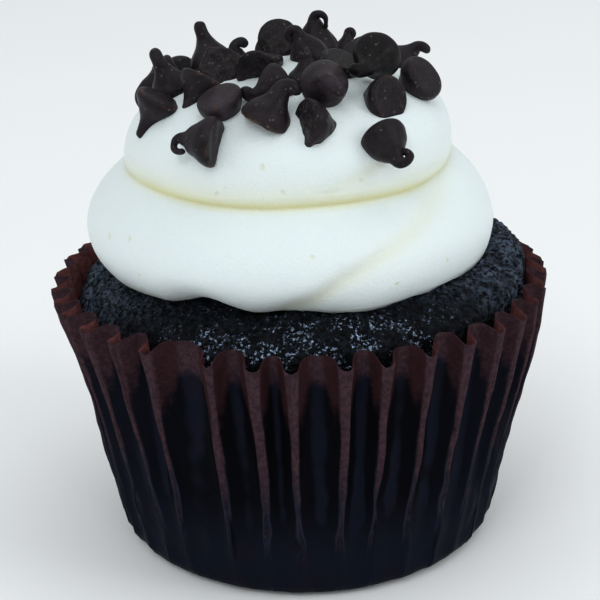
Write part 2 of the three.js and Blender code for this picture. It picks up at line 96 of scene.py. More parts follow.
class FrostingSettings(bpy.types.PropertyGroup):
    lower_radius: length("Lower radius", "Radius of the lower lap", 29.1)
    lower_waist: length("Lower waist", "Height of the lower lap's widest line", 47.3)
    upper_radius: length("Upper radius", "Radius of the upper lap", 23.1)
    upper_waist: length("Upper waist", "Height of the upper lap's widest line", 57.4)
    cream: colour("Cream", "Colour of the frosting", 0.782, 0.852, 0.852)
    # The deep cream is painted shade: in the crease, under the laps, along the seams and in the bubbles'
    # hollows.
    deep: colour("Cream shade", "Colour in the crease and under the laps", 0.74, 0.715, 0.39)


class DropSettings(bpy.types.PropertyGroup):
    wobble: length("Wobble", "How far a drop's surface is uneven", 0.2)
    dark: colour("Chocolate", "Colour of the chocolate", 0.0096, 0.0066, 0.0083)
    bloom: colour("Bloom", "Colour of the pale film on the chocolate", 0.0192, 0.0140, 0.0178)
    flake: colour("Flake", "Colour where the chocolate is rubbed or broken", 0.080, 0.040, 0.026)
    dust: colour("Dust", "Colour of the fine crumbs on the chocolate", 0.085, 0.072, 0.068)


class StageSettings(bpy.types.PropertyGroup):
    floor_size: length("Floor size", "Side of the square floor", 3000)
    floor: colour("Floor", "Colour of the floor", 0.95, 0.95, 0.95)
    camera_distance: length("Camera distance", "From the camera to the case's rim", 230)
    lens: bpy.props.FloatProperty(
        name="Lens", description="Focal length of the camera", default=94.03, min=1, unit="CAMERA"
    )


# --- Shared helpers ---


def clamp01(value):
    return max(0.0, min(1.0, value))


def mix(start, end, share):
    return start + (end - start) * share


def smooth(start, end, value):
    share = clamp01((value - start) / (end - start))
    return share * share * (3 - 2 * share)


def hill(away, half):
    """A smooth hill of height 1 in the middle, gone at its half width."""
    return 0.5 + 0.5 * math.cos(math.pi * away / half) if abs(away) < half else 0.0


def bump(azimuth, centre, half):
    """The same hill round the upright axis."""
    return hill((azimuth - centre + 900) % 360 - 180, half)


def draw(first, second):
    """A repeatable draw from -1 to 1 for a pair of whole numbers."""
    wave = math.sin(first * 127.1 + second * 311.7 + 17.3) * 43758.5453
    return 2 * (wave - math.floor(wave)) - 1


def drift(point, scale, seed=0.0):
    """Slow noise from about -1 to 1 whose lumps are scale millimetres wide."""
    return noise.noise(Vector(point) / scale + Vector((seed, seed * 1.7, seed * 2.3)))


def polar(azimuth, radius, height):
    angle = math.radians(azimuth)
    return Vector((radius * math.sin(angle), -radius * math.cos(angle), height))


def deselect():
    if bpy.context.object and bpy.context.object.mode != "OBJECT":
        bpy.ops.object.mode_set(mode="OBJECT")
    bpy.ops.object.select_all(action="DESELECT")


def pick(piece):
    deselect()
    piece.select_set(True)
    bpy.context.view_layer.objects.active = piece


def tube(name, rows, columns):
    """An upright tube of rows * columns points with one row at each whole height."""
    deselect()
    bpy.ops.mesh.primitive_plane_add(size=1, location=(1, 0, 0))
    piece = bpy.context.object
    piece.name = name
    bpy.ops.object.mode_set(mode="EDIT")
    bpy.ops.mesh.merge(type="CENTER")
    for _ in range(rows - 1):
        bpy.ops.mesh.extrude_region_move(TRANSFORM_OT_translate={"value": (0, 0, 1)})
    bpy.ops.mesh.select_all(action="SELECT")
    bpy.ops.mesh.spin(
        steps=columns, angle=math.tau, center=(0, 0, 0), axis=(0, 0, 1), use_auto_merge=True
    )
    bpy.ops.mesh.select_all(action="SELECT")
    bpy.ops.mesh.remove_doubles(threshold=1e-4)
    bpy.ops.object.mode_set(mode="OBJECT")
    bpy.ops.object.transform_apply(location=True, rotation=True, scale=True)
    if len(piece.data.vertices) != rows * columns:
        raise RuntimeError(f"{name} has {len(piece.data.vertices)} points, not {rows * columns}")
    return piece


def shaped(piece, columns, place):
    """Moves each point of a tube to place(column, row), in millimetres, and closes its poles."""
    for point in piece.data.vertices:
        turn = math.degrees(math.atan2(point.co.x, -point.co.y)) % 360
        column = round(turn * columns / 360) % columns
        point.co = place(column, round(point.co.z)) * MM
    pick(piece)
    bpy.ops.object.mode_set(mode="EDIT")
    bpy.ops.mesh.select_all(action="SELECT")
    bpy.ops.mesh.remove_doubles(threshold=0.002 * MM)
    bpy.ops.mesh.normals_make_consistent(inside=False)
    bpy.ops.object.mode_set(mode="OBJECT")
    bpy.ops.object.shade_smooth()
    return piece


def marked(piece, name, value_at):
    """Gives each point of a piece a value that its material reads. value_at takes millimetres."""
    attribute = piece.data.attributes.new(name, "FLOAT", "POINT")
    for point, value in zip(piece.data.vertices, attribute.data):
        value.value = value_at(point.co / MM)


def displaced(piece, kind, size, strength, group="", **settings):
    """Pushes a piece's surface, or one vertex group of it, in and out by a procedural texture."""
    texture = bpy.data.textures.new(f"{piece.name}_{kind.lower()}", kind)
    texture.noise_scale = size * MM
    for setting, value in settings.items():
        setattr(texture, setting, value)
    pick(piece)
    modifier = piece.modifiers.new("relief", "DISPLACE")
    modifier.texture = texture
    modifier.texture_coords = "LOCAL"
    modifier.strength = strength * MM
    modifier.mid_level = 0.5
    modifier.vertex_group = group
    bpy.ops.object.modifier_apply(modifier=modifier.name)


def dressed(piece, material, slot, *nodes):
    """Gives a finished piece its material and its place in the model."""
    piece.data.materials.clear()
    piece.data.materials.append(material)
    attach(piece, "root")
    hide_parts(*nodes)


# --- Material helpers ---


class Nodes:
    """A short way to place and link the nodes of one tree."""

    def __init__(self, tree):
        self.tree = tree

    def fill(self, node, inputs):
        """Links or sets some of a node's sockets."""
        for name, value in inputs.items():
            socket = node.inputs[name]
            if isinstance(value, bpy.types.NodeSocket):
                self.tree.links.new(value, socket)
            else:
                socket.default_value = value

    def add(self, kind, inputs=None, **settings):
        node = self.tree.nodes.new(kind)
        for name, value in settings.items():
            setattr(node, name, value)
        self.fill(node, inputs or {})
        return node

    def attribute(self, name):
        return self.add("ShaderNodeAttribute", attribute_name=name).outputs["Fac"]

    def math(self, operation, first, second=0.0):
        return self.add("ShaderNodeMath", {0: first, 1: second}, operation=operation).outputs[0]

    def times(self, first, *others):
        for other in others:
            first = self.math("MULTIPLY", first, other)
        return first

    def plus(self, first, second):
        return self.math("ADD", first, second)

    def vector_math(self, operation, first, second):
        node = self.add("ShaderNodeVectorMath", {0: first, 1: second}, operation=operation)
        return node.outputs["Value" if operation == "DISTANCE" else "Vector"]

    def ramp(self, value, low, high):
        """0 below low, 1 above high and smooth between."""
        inputs = {"Value": value, "From Min": low, "From Max": high}
        node = self.add("ShaderNodeMapRange", inputs, interpolation_type="SMOOTHSTEP")
        return node.outputs["Result"]

    def spread(self, share, low, high):
        """low where share is 0 and high where it is 1."""
        inputs = {"Value": share, "To Min": low, "To Max": high}
        return self.add("ShaderNodeMapRange", inputs).outputs["Result"]

    def blend(self, share, first, second, kind="MIX"):
        inputs = {0: share, 6: first, 7: second}
        return self.add("ShaderNodeMix", inputs, data_type="RGBA", blend_type=kind).outputs[2]

    def noise(self, vector, scale, detail=2.0, roughness=0.5):
        inputs = {"Vector": vector, "Scale": scale, "Detail": detail, "Roughness": roughness}
        return self.add("ShaderNodeTexNoise", inputs).outputs["Fac"]

    def cells(self, vector, scale, **settings):
        inputs = {"Vector": vector, "Scale": scale}
        return self.add("ShaderNodeTexVoronoi", inputs, **settings).outputs

    def bumped(self, height, distance, strength=1.0, normal=None):
        inputs = {"Height": height, "Distance": distance * MM, "Strength": strength}
        if normal:
            inputs["Normal"] = normal
        return self.add("ShaderNodeBump", inputs).outputs["Normal"]


def new_group(name, inputs, outputs):
    """A shader node group. Its inputs are vectors (None) or numbers with a default, its outputs numbers."""
    group = bpy.data.node_groups.new(name, "ShaderNodeTree")
    for socket, default in inputs.items():
        kind = "NodeSocketVector" if default is None else "NodeSocketFloat"
        made = group.interface.new_socket(name=socket, in_out="INPUT", socket_type=kind)
        if default is not None:
            made.default_value = default
    for socket in outputs:
        group.interface.new_socket(name=socket, in_out="OUTPUT", socket_type="NodeSocketFloat")
    nodes = Nodes(group)
    entry = nodes.add("NodeGroupInput")
    leave = nodes.add("NodeGroupOutput")
    return group, nodes, entry.outputs, leave


def grain_group():
    """Even fine grain with a slower unevenness under it."""
    if "fine_grain" in bpy.data.node_groups:
        return bpy.data.node_groups["fine_grain"]
    inputs = {"Vector": None, "Scale": 1000.0, "Slow Scale": 100.0, "Slow Share": 0.4}
    group, nodes, given, leave = new_group("fine_grain", inputs, ["Height", "Slow"])
    fine = nodes.noise(given["Vector"], given["Scale"], 3.0, 0.6)
    slow = nodes.noise(given["Vector"], given["Slow Scale"], 2.0)
    weighted = nodes.times(slow, given["Slow Share"])
    nodes.fill(leave, {"Height": nodes.plus(fine, weighted), "Slow": slow})
    return group


FLECK_WOBBLE = 0.6


def fleck_group():
    """Sparse flecks with ragged edges."""
    inputs = {"Vector": None, "Scale": 400.0, "Rarity": 0.7, "Size": 0.25}
    group, nodes, given, leave = new_group("flecks", inputs, ["Mask"])
    wobble = nodes.add("ShaderNodeTexNoise", {"Vector": given["Vector"], "Scale": given["Scale"]})
    shift = nodes.vector_math("MULTIPLY", wobble.outputs["Color"], [FLECK_WOBBLE * MM] * 3)
    place = nodes.vector_math("ADD", given["Vector"], shift)
    cells = nodes.cells(place, given["Scale"])
    kept = nodes.math("GREATER_THAN", cells["Color"], given["Rarity"])
    near = nodes.math("LESS_THAN", cells["Distance"], given["Size"])
    nodes.fill(leave, {"Mask": nodes.times(kept, near)})
    return group


def new_material(name):
    """A material with its Principled shader and object coordinates."""
    material = bpy.data.materials.new(name)
    material.use_nodes = True
    nodes = Nodes(material.node_tree)
    shader = material.node_tree.nodes["Principled BSDF"]
    place = nodes.add("ShaderNodeTexCoord").outputs["Object"]
    return material, nodes, shader, place


def grained(nodes, place, scale, slow_scale):
    inputs = {"Vector": place, "Scale": scale, "Slow Scale": slow_scale}
    return nodes.add("ShaderNodeGroup", inputs, node_tree=grain_group()).outputs


def tinted(base, red, green, blue):
    """A colour with each of its channels made stronger or weaker."""
    return (base[0] * red, base[1] * green, base[2] * blue, 1)


# --- Paper case ---

# The outer folds were crimped by hand and stand unevenly.
FOLD_AZIMUTHS = [
    -110, -101, -90, -81, -72, -64, -54, -44, -35, -20, -10, -2, 9, 18, 28, 38, 48, 57, 66,
    76, 86, 93, 103, 112, 122, 131, 141, 150, 159, 169, 178, 188, 197, 207, 216, 226, 235, 242,
]
COLUMNS_PER_FOLD = 22
HALF_FOLD = COLUMNS_PER_FOLD // 2
FOLD_DEPTH_FOOT = 0.55
FOLD_DEPTH_POWER = 1.35
INNER_FOLD_RISE = 1.6
RIM_UNEVEN = 0.35
OUTER_FOLD_HALF = 1.1
FLANK_TURN = 1.15
FOLD_LEAN = 2.4
FLOOR_SHIFT = -0.25
RIM_SHIFT = -0.64
# Half a fold goes from its crest over the flank to the trough: the shares of its columns and of its
# depth where the crest and the flank end.
CREST_SHARE = 0.3
FLANK_SHARE = 0.6
CREST_DEPTH = 0.05
FLANK_DEPTH = 0.66
# Each crest has a kink where the cake no longer pushes the paper out.
KINK_HEIGHT = 14
KINK_SCATTER = 3
KINK_HALF = 2.5
KINK_TURN = 0.8
CREST_WANDER = 0.7
DEPTH_SCATTER = 0.08
RIM_RAGGED = 0.22
# Dents and bulges: azimuth, half width, height, reach, depth outwards.
WALL_DENTS = [
    (-33, 16, 40, 22, -0.8),
    (-72, 34, 40, 16, 0.3),
    (-90, 60, 23, 17, -0.75),
    (4, 26, 40, 16, 0.35),
    (80, 16, 41, 8, -0.6),
    (78, 55, 29, 13, 0.5),
]


def wall_bulge(azimuth, height):
    return sum(
        out * bump(azimuth, centre, half) * hill(height - middle, reach)
        for centre, half, middle, reach, out in WALL_DENTS
    )


def case_shift(height):
    """How far the middle of the leaning case lies along X at a height."""
    return mix(FLOOR_SHIFT, RIM_SHIFT, height / CASE_HEIGHT)


def shifted(azimuth, radius, height):
    point = polar(azimuth, radius, height)
    point.x += case_shift(height)
    return point


class PaperWall:
    """Where each point of the pleated wall lies, in millimetres."""

    def __init__(self, settings):
        self.height = settings.height / MM
        self.rim_radius = settings.rim_radius / MM
        self.floor_radius = settings.floor_radius / MM
        self.corner = settings.corner / MM
        self.fold_depth = settings.fold_depth / MM

    def share(self, height):
        return clamp01((height - self.corner) / (self.height - self.corner))

    def radius(self, height):
        return mix(self.floor_radius + self.corner, self.rim_radius, self.share(height))

    def depth(self, height):
        return mix(FOLD_DEPTH_FOOT, self.fold_depth, self.share(height) ** FOLD_DEPTH_POWER)

    def place(self, column, height, rim):
        """rim is 0 on the floor's side and 1 at the top row, which isn't level."""
        fold, step = divmod(column, COLUMNS_PER_FOLD)
        here = FOLD_AZIMUTHS[fold]
        following = (FOLD_AZIMUTHS + [FOLD_AZIMUTHS[0] + 360])[fold + 1]
        middle = (here + following) / 2
        forward = step <= HALF_FOLD
        across = step / HALF_FOLD if forward else 2 - step / HALF_FOLD
        crest_fold = fold if forward else (fold + 1) % len(FOLD_AZIMUTHS)
        crest = here if forward else following
        lean = FOLD_LEAN * bump(middle, -72, 55) * self.share(height) ** 2
        kink_height = KINK_HEIGHT + KINK_SCATTER * draw(crest_fold, 3)
        kink = 1
        if height > self.corner:
            kink = smooth(kink_height + KINK_HALF, kink_height - KINK_HALF, height)
        crest += KINK_TURN * draw(crest_fold, 4) * kink * self.share(height + 6)
        crest += CREST_WANDER * drift((height, crest_fold * 9.0, 0), 7, 2.0) * smooth(36, 28, height)
        waist = math.exp(-(((height - kink_height) / KINK_SCATTER) ** 2))
        width = 0.72 + 0.8 * self.share(height) ** 6 + 0.2 * draw(crest_fold, 5) - 0.35 * waist
        half = OUTER_FOLD_HALF * width
        side = 1 if forward else -1
        inner_half = (following - here) / 2 - OUTER_FOLD_HALF - FLANK_TURN
        edge = middle + lean - side * inner_half
        if across < CREST_SHARE:
            step_share = across / CREST_SHARE
            azimuth = mix(crest, crest + side * half, step_share)
            depth_share = CREST_DEPTH * step_share ** 2
        elif across < FLANK_SHARE:
            step_share = (across - CREST_SHARE) / (FLANK_SHARE - CREST_SHARE)
            azimuth = mix(crest + side * half, edge, step_share)
            depth_share = mix(CREST_DEPTH, FLANK_DEPTH, step_share ** 0.85)
        else:
            step_share = (across - FLANK_SHARE) / (1 - FLANK_SHARE)
            azimuth = mix(edge, middle + lean, step_share)
            depth_share = mix(FLANK_DEPTH, 1, math.sin(math.pi / 2 * step_share))
        depth = self.depth(height) * (1 + DEPTH_SCATTER * draw(fold, 6)) * mix(0.9, 1, smooth(7, 15, height))
        arch = smooth(0, 0.8, across)
        top = rim * (RIM_UNEVEN * mix(draw(crest_fold, 1), draw(fold, 2), arch) + INNER_FOLD_RISE * arch)
        radius = self.radius(height) + wall_bulge(middle, height) - depth * depth_share
        along = radius * math.radians(azimuth)
        top += rim * RIM_RAGGED * drift((along, 0, 11), 1.8)
        wrinkle = mix(0.5, 0.34, smooth(10, 20, height)) * drift((along, height * 0.35, fold * 3.0), 3.2)
        wrinkle += 0.2 * drift((along, height * 0.8, fold * 5.0), 1.9, 4.0)
        radius += wrinkle * (1 - 0.35 * self.share(height)) * smooth(0, 8, height)
        return azimuth, radius, height + top, depth_share


class CUPCAKE_OT_paper_case(bpy.types.Operator):
    """Folds the pleated paper case and lets its paper soak from the cake"""

    bl_idname = "cupcake.paper_case"
    bl_label = "Paper case"
    bl_options = {"REGISTER", "UNDO"}

    def execute(self, context):
        settings = context.scene.cupcake_case
        wall = PaperWall(settings)
        columns = COLUMNS_PER_FOLD * len(FOLD_AZIMUTHS)
        floor_radii = [0, 8, 16, wall.floor_radius - 1]
        corner_turns = [0, 22, 45, 68, 90]
        wall_steps = 40
        rows = len(floor_radii) + len(corner_turns) + wall_steps

        def place(column, row):
            if row < len(floor_radii):
                azimuth = wall.place(column, wall.corner, 0)[0]
                return shifted(azimuth, floor_radii[row], 0)
            row -= len(floor_radii)
            if row < len(corner_turns):
                angle = math.radians(corner_turns[row])
                height = wall.corner * (1 - math.cos(angle))
                azimuth, radius, _, depth_share = wall.place(column, wall.corner, 0)
                out = radius - wall.corner * (1 - math.sin(angle))
                relief = FOLD_DEPTH_FOOT * (1 - height / wall.corner) * depth_share
                return shifted(azimuth, out + relief, height)
            step = (row - len(corner_turns) + 1) / wall_steps
            height = mix(wall.corner, wall.height, step)
            azimuth, radius, top, _ = wall.place(column, height, step ** 6)
            return shifted(azimuth, radius, top)

        piece = shaped(tube("case", rows, columns), columns, place)
        self.marks(piece, wall)
        piece.data.materials.append(case_material(settings, "case_paper", inside=False))
        piece.data.materials.append(case_material(settings, "case_lining", inside=True))
        pick(piece)
        thickness = piece.modifiers.new("paper", "SOLIDIFY")
        thickness.thickness = settings.paper
        thickness.offset = -1
        thickness.material_offset = 1
        thickness.material_offset_rim = 0
        bpy.ops.object.modifier_apply(modifier=thickness.name)
        bpy.ops.object.shade_smooth_by_angle(angle=math.radians(38))
        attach(piece, "root")
        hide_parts("paper_case")
        return {"FINISHED"}

    def marks(self, piece, wall):
        """How far the cake's fat has soaked each place of the paper, and how deep it lies."""

        def fold_share(point):
            across = point.x - case_shift(point.z)
            azimuth = math.degrees(math.atan2(across, -point.y))
            outermost = wall.radius(point.z) + wall_bulge(azimuth, point.z)
            return clamp01((outermost - math.hypot(across, point.y)) / wall.depth(point.z))

        def soaked(point):
            if point.z < 2:
                return 1
            trough = fold_share(point)
            below = wall.height + 1 - point.z
            lying = (point.x, point.y, 0.2 * point.z)
            start = mix(3.6, 2.6, smooth(0.55, 1.0, trough))
            start += 1.2 * drift(point, 4.0) + 1.4 * drift(lying, 5, 6)
            spread = mix(9, 3, smooth(0.5, 0.95, trough))
            crest = mix(mix(0.12, 0.66, smooth(11, 27, below)), 0.85, smooth(26, 33, below))
            most = mix(crest, 1, smooth(0.04, 0.22, trough))
            return most * smooth(start - 1.5, start + spread, below)

        marked(piece, "trough", fold_share)
        marked(piece, "soaked", soaked)


# How much brighter and redder the lining's dry paper is: painted light shining through the thin paper.
LINING_BACKLIGHT_TINT = (3.6, 2.5, 2.0)


def case_material(settings, name, inside):
    material, nodes, shader, place = new_material(name)
    trough = nodes.attribute("trough")
    where = nodes.add("ShaderNodeSeparateXYZ", {0: place}).outputs
    # Painted shade on the folds' flanks, in the dry and the greased paper; the troughs' middles, kept out of
    # it, stay lighter as a painted highlight. The shade is weaker at the case's left and right and fades out
    # towards the floor.
    sides = nodes.ramp(nodes.math("ABSOLUTE", where["X"]), 0.014, 0.028)
    flank = nodes.times(
        nodes.ramp(trough, 0.03, 0.2), nodes.ramp(trough, 1.0, 0.82), nodes.ramp(where["Z"], 0.006, 0.018),
        nodes.math("SUBTRACT", 1.0, nodes.times(sides, 0.6)),
    )
    # Inside, the dry paper gets the lining tint, which is painted light shining through the paper.
    dry = tinted(settings.dry, *(LINING_BACKLIGHT_TINT if inside else (1, 1, 1)))
    freckles = nodes.ramp(nodes.noise(place, 1500, 6.0, 0.85), 0.37, 0.67)
    paper = nodes.blend(freckles, tinted(dry, 0.68, 0.68, 0.68), tinted(dry, 1.75, 1.6, 1.55))
    # The dry paper's flanks in a darker red: painted shade.
    paper = nodes.blend(nodes.times(flank, 0.8), paper, tinted(dry, 0.62, 0.38, 0.34))
    greased = settings.greased
    patches = nodes.ramp(nodes.noise(place, 240, 3.0, 0.6), 0.46, 0.68)
    oily = nodes.blend(nodes.times(patches, 0.7), greased, tinted(greased, 1.5, 0.9, 0.9))
    # The greased paper's flanks darkened: painted shade.
    oily = nodes.blend(flank, oily, tinted(greased, 0.42, 0.33, 0.27))
    fibres = nodes.noise(place, 900, 3.0, 0.7)
    # Painted highlight: pale lines along the crests' edges low on the wall, mottled with the fibres.
    ridge = nodes.times(nodes.ramp(trough, 0.01, 0.06), nodes.ramp(trough, 0.24, 0.1))
    low = nodes.times(nodes.ramp(where["Z"], 0.026, 0.016), nodes.ramp(where["Z"], 0.006, 0.012))
    wear_and_highlight = nodes.times(ridge, low, nodes.plus(fibres, 0.2))
    oily = nodes.blend(wear_and_highlight, oily, tinted(greased, 3.0, 2.6, 2.4))
    uneven = nodes.plus(nodes.attribute("soaked"), nodes.times(nodes.math("SUBTRACT", fibres, 0.5), 0.8))
    share = nodes.ramp(uneven, 0.15, 0.85)
    grain = grained(nodes, place, 2600, 170)
    nodes.fill(shader, {
        "Base Color": nodes.blend(share, paper, oily),
        "Roughness": nodes.spread(share, 0.62, 0.4),
        "Specular IOR Level": 0.008,
        "Normal": nodes.bumped(grain["Height"], 0.05, 0.6),
    })
    return material


# --- Cake ---

CAKE_DOME_POWER = 2.6
CAKE_EDGE_POWER = 0.6
CAKE_OVERHANG = 1.2
CAKE_LEAN = 1.1
CAKE_EDGE_RADIUS = 31.95
CAKE_FLOOR = 0.75
CAKE_CLEARANCE = 0.55
CRUMB_STEP = 0.215
ROUNDED_ROWS = 6


def dome_height(x, y, settings):
    """Height of the smooth dome over a point of the plan."""
    radius = math.hypot(x - CAKE_LEAN, y)
    share = clamp01(radius / (CAKE_EDGE_RADIUS + CAKE_OVERHANG))
    azimuth = math.degrees(math.atan2(x, -y))
    tilt = 2.1 * bump(azimuth, 115, 120) * share
    rise = (1 - share ** CAKE_DOME_POWER) ** CAKE_EDGE_POWER
    return settings.edge_height / MM + settings.dome_rise / MM * rise + tilt


class CUPCAKE_OT_cake(bpy.types.Operator):
    """Bakes the cake: a solid that fills the case and domes above its rim"""

    bl_idname = "cupcake.cake"
    bl_label = "Cake"
    bl_options = {"REGISTER", "UNDO"}

    def execute(self, context):
        settings = context.scene.cupcake_cake
        wall = PaperWall(context.scene.cupcake_case)
        columns = 860
        side_heights = [4, 12, 25, 32, 35.5]
        crumb_rows = 56
        inner = [13, 17, 22]
        rows = 2 + len(side_heights) + crumb_rows + 1 + len(inner) + 1

        edge_height = settings.edge_height / MM

        def side_radius(azimuth, height):
            dent = min(0, wall_bulge(azimuth, height))
            return wall.radius(height) - wall.depth(height) - CAKE_CLEARANCE + dent

        def place(column, row):
            azimuth = 360 * column / columns
            if row == 0:
                return shifted(azimuth, 0, CAKE_FLOOR)
            if row == 1:
                return shifted(azimuth, wall.floor_radius - 1, CAKE_FLOOR)
            row -= 2
            if row < len(side_heights):
                height = side_heights[row]
                return shifted(azimuth, side_radius(azimuth, height), height)
            row -= len(side_heights)
            edge = side_radius(azimuth, edge_height)
            tuck = 1 - 0.03 * bump(azimuth, -90, 70)
            inset = CRUMB_STEP * row if row <= crumb_rows else (inner + [40])[row - crumb_rows - 1]
            point = shifted(azimuth, max(0, edge * tuck - inset), edge_height)
            point.z = dome_height(point.x, point.y, settings)
            if row < ROUNDED_ROWS:
                point.z -= 0.5 * (1 - row / ROUNDED_ROWS) ** 2
            return point

        piece = shaped(tube("crumb", rows, columns), columns, place)
        crumb = settings.crumb / MM
        displaced(piece, "CLOUDS", 2.4, 1.1 * crumb, noise_depth=1)
        displaced(piece, "VORONOI", 1.5, 1.3 * crumb)
        displaced(piece, "VORONOI", 0.65, 0.75 * crumb)
        dressed(piece, cake_material(settings), "cake", "cake")
        return {"FINISHED"}


def cake_material(settings):
    material, nodes, shader, place = new_material("cake_crumb")
    where = nodes.add("ShaderNodeSeparateXYZ", {0: place}).outputs
    # Painted sheen: the pale blue-grey lies on the crumb's lumps and leaves its pores dark.
    slow = nodes.ramp(nodes.noise(place, 480, 3.0, 0.6), 0.40, 0.60)
    uneven = nodes.plus(nodes.times(slow, 0.65), 0.35)
    crumbs = nodes.ramp(nodes.noise(place, 1500, 4.0, 0.75), 0.42, 0.58)
    closed = nodes.ramp(nodes.cells(place, 720.0)["Distance"], 0.14, 0.36)
    # The front gets little of the painted sheen and stays dark: partly greasy crumb, partly painted shade
    # under the frosting's overhang.
    front = nodes.ramp(where["Y"], -0.010, -0.025)
    dry = nodes.math("SUBTRACT", 1.0, nodes.times(front, 0.9))
    surface = nodes.blend(nodes.times(uneven, crumbs, closed, dry), settings.dark, settings.pale)
    # The greasy front glints in specks, most of all in the middle and near the rim: painted highlights of
    # bright colour, with real gloss from metal and low roughness in the same specks.
    edge = nodes.times(nodes.ramp(where["Y"], -0.0235, -0.0310), 0.035)
    specks = nodes.ramp(nodes.plus(nodes.noise(place, 2100, 3.0, 0.7), edge), 0.595, 0.645)
    patches = nodes.ramp(nodes.noise(place, 330, 3.0, 0.7), 0.46, 0.57)
    nearest = nodes.ramp(where["Y"], -0.0175, -0.0300)
    middle = nodes.ramp(nodes.math("ABSOLUTE", where["X"]), 0.024, 0.010)
    glints = nodes.times(specks, nearest, nodes.plus(nodes.times(middle, 0.6), 0.4), patches)
    lumps = nodes.cells(place, 1500.0, feature="SMOOTH_F1")["Distance"]
    height = nodes.math("SUBTRACT", nodes.times(nodes.noise(place, 3200, 4.0, 0.75), 0.6), lumps)
    nodes.fill(shader, {
        "Base Color": nodes.blend(glints, surface, settings.painted_glint),
        "Metallic": glints,
        "Roughness": nodes.spread(glints, 0.5, 0.15),
        "Specular IOR Level": 0.045,
        "Normal": nodes.bumped(height, 0.5, 1.0),
    })
    return material


# --- Frosting ---

FROSTING_SHIFT = -2
LOWER_TUBE = 8.1
LOWER_DROP = 6.5
LOWER_SHOULDER = 14.6
UPPER_TUBE = 6.1
UPPER_DROP = 3.5
UPPER_RISE = 11.8
UPPER_LEAN = 0.8
UPPER_POWER = 2.5
SWIRL_RISE = 0.75
# Where the rope's start tucks under itself, low in front, and where its last turn folds over the top:
# points as (azimuth, height).
LOWER_SEAM = [
    (-9, 41.5), (-2, 42.6), (7, 44.4), (14.2, 47.0), (24.1, 49.1), (35.7, 50.9), (43.8, 52.2),
    (51.2, 53.3), (59, 54.5), (68, 55.4), (76, 56.1),
]
UPPER_SEAM = [(4, 55.2), (7.3, 55.8), (12.2, 56.8), (17.1, 57.7), (25.4, 59.1), (35, 60.9), (48, 63)]
LOWER_SEAM_DEPTH = 0.85
UPPER_SEAM_DEPTH = 0.6


def seam_share(seam, azimuth, height, radius, above, below):
    """1 on a seam, falling off within above and below millimetres on its two sides."""
    azimuth = (azimuth + 180) % 360 - 180
    if not seam[0][0] < azimuth < seam[-1][0]:
        return 0
    for (start, low), (end, high) in zip(seam, seam[1:]):
        if azimuth <= end:
            break
    line = mix(low, high, (azimuth - start) / (end - start))
    slope = (high - low) / (radius * math.radians(end - start))
    away = (height - line) / math.hypot(1, slope)
    along = (azimuth - seam[0][0]) / (seam[-1][0] - seam[0][0])
    fade = smooth(0, 0.12, along) * mix(1.25, 0.3, along) * smooth(1, 0.85, along)
    return fade * (math.exp(-((away / above) ** 2)) if away > 0 else math.exp(away / below))


def lower_seam(azimuth, height, above=1.7, below=3.2):
    return seam_share(LOWER_SEAM, azimuth, height, 28, above, below)


def upper_seam(azimuth, height, above=1.4, below=2.2):
    return seam_share(UPPER_SEAM, azimuth, height, 23, above, below)


# Where the lower lap's edge hangs lower (+) or is drawn up (-): azimuth, half width, millimetres.
EDGE_WAVES = [
    (-95, 30, 0.9), (-62, 26, 1.1), (-25, 17, -1.8), (-4, 16, -0.4), (21, 17, 1.2), (62, 50, 3.0),
    (150, 25, 0.5), (-160, 20, 0.4),
]


def edge_drop(azimuth):
    return LOWER_DROP + sum(down * bump(azimuth, centre, half) for centre, half, down in EDGE_WAVES)


def upper_drop(azimuth):
    """How far the upper lap's underside hangs below its waist: deepest at the right of the front."""
    drop = UPPER_DROP + 0.7 * bump(azimuth, 0, 60) + 1.7 * bump(azimuth, 68, 55)
    return drop - 0.4 * bump(azimuth, -80, 45)


def lower_hollow(azimuth, height):
    """How far the lower lap is drawn in: along its seam, and over the place where its edge is drawn up."""
    dent = 0.7 * bump(azimuth, -26, 16) * hill(height - 43.5, 5)
    return LOWER_SEAM_DEPTH * lower_seam(azimuth, height) + dent


def climb(azimuth):
    return SWIRL_RISE * math.sin(math.radians(azimuth))


def sway(azimuth, phase):
    turn = math.radians(azimuth + phase)
    return 0.25 * math.sin(3 * turn) + 0.15 * math.sin(7 * turn)


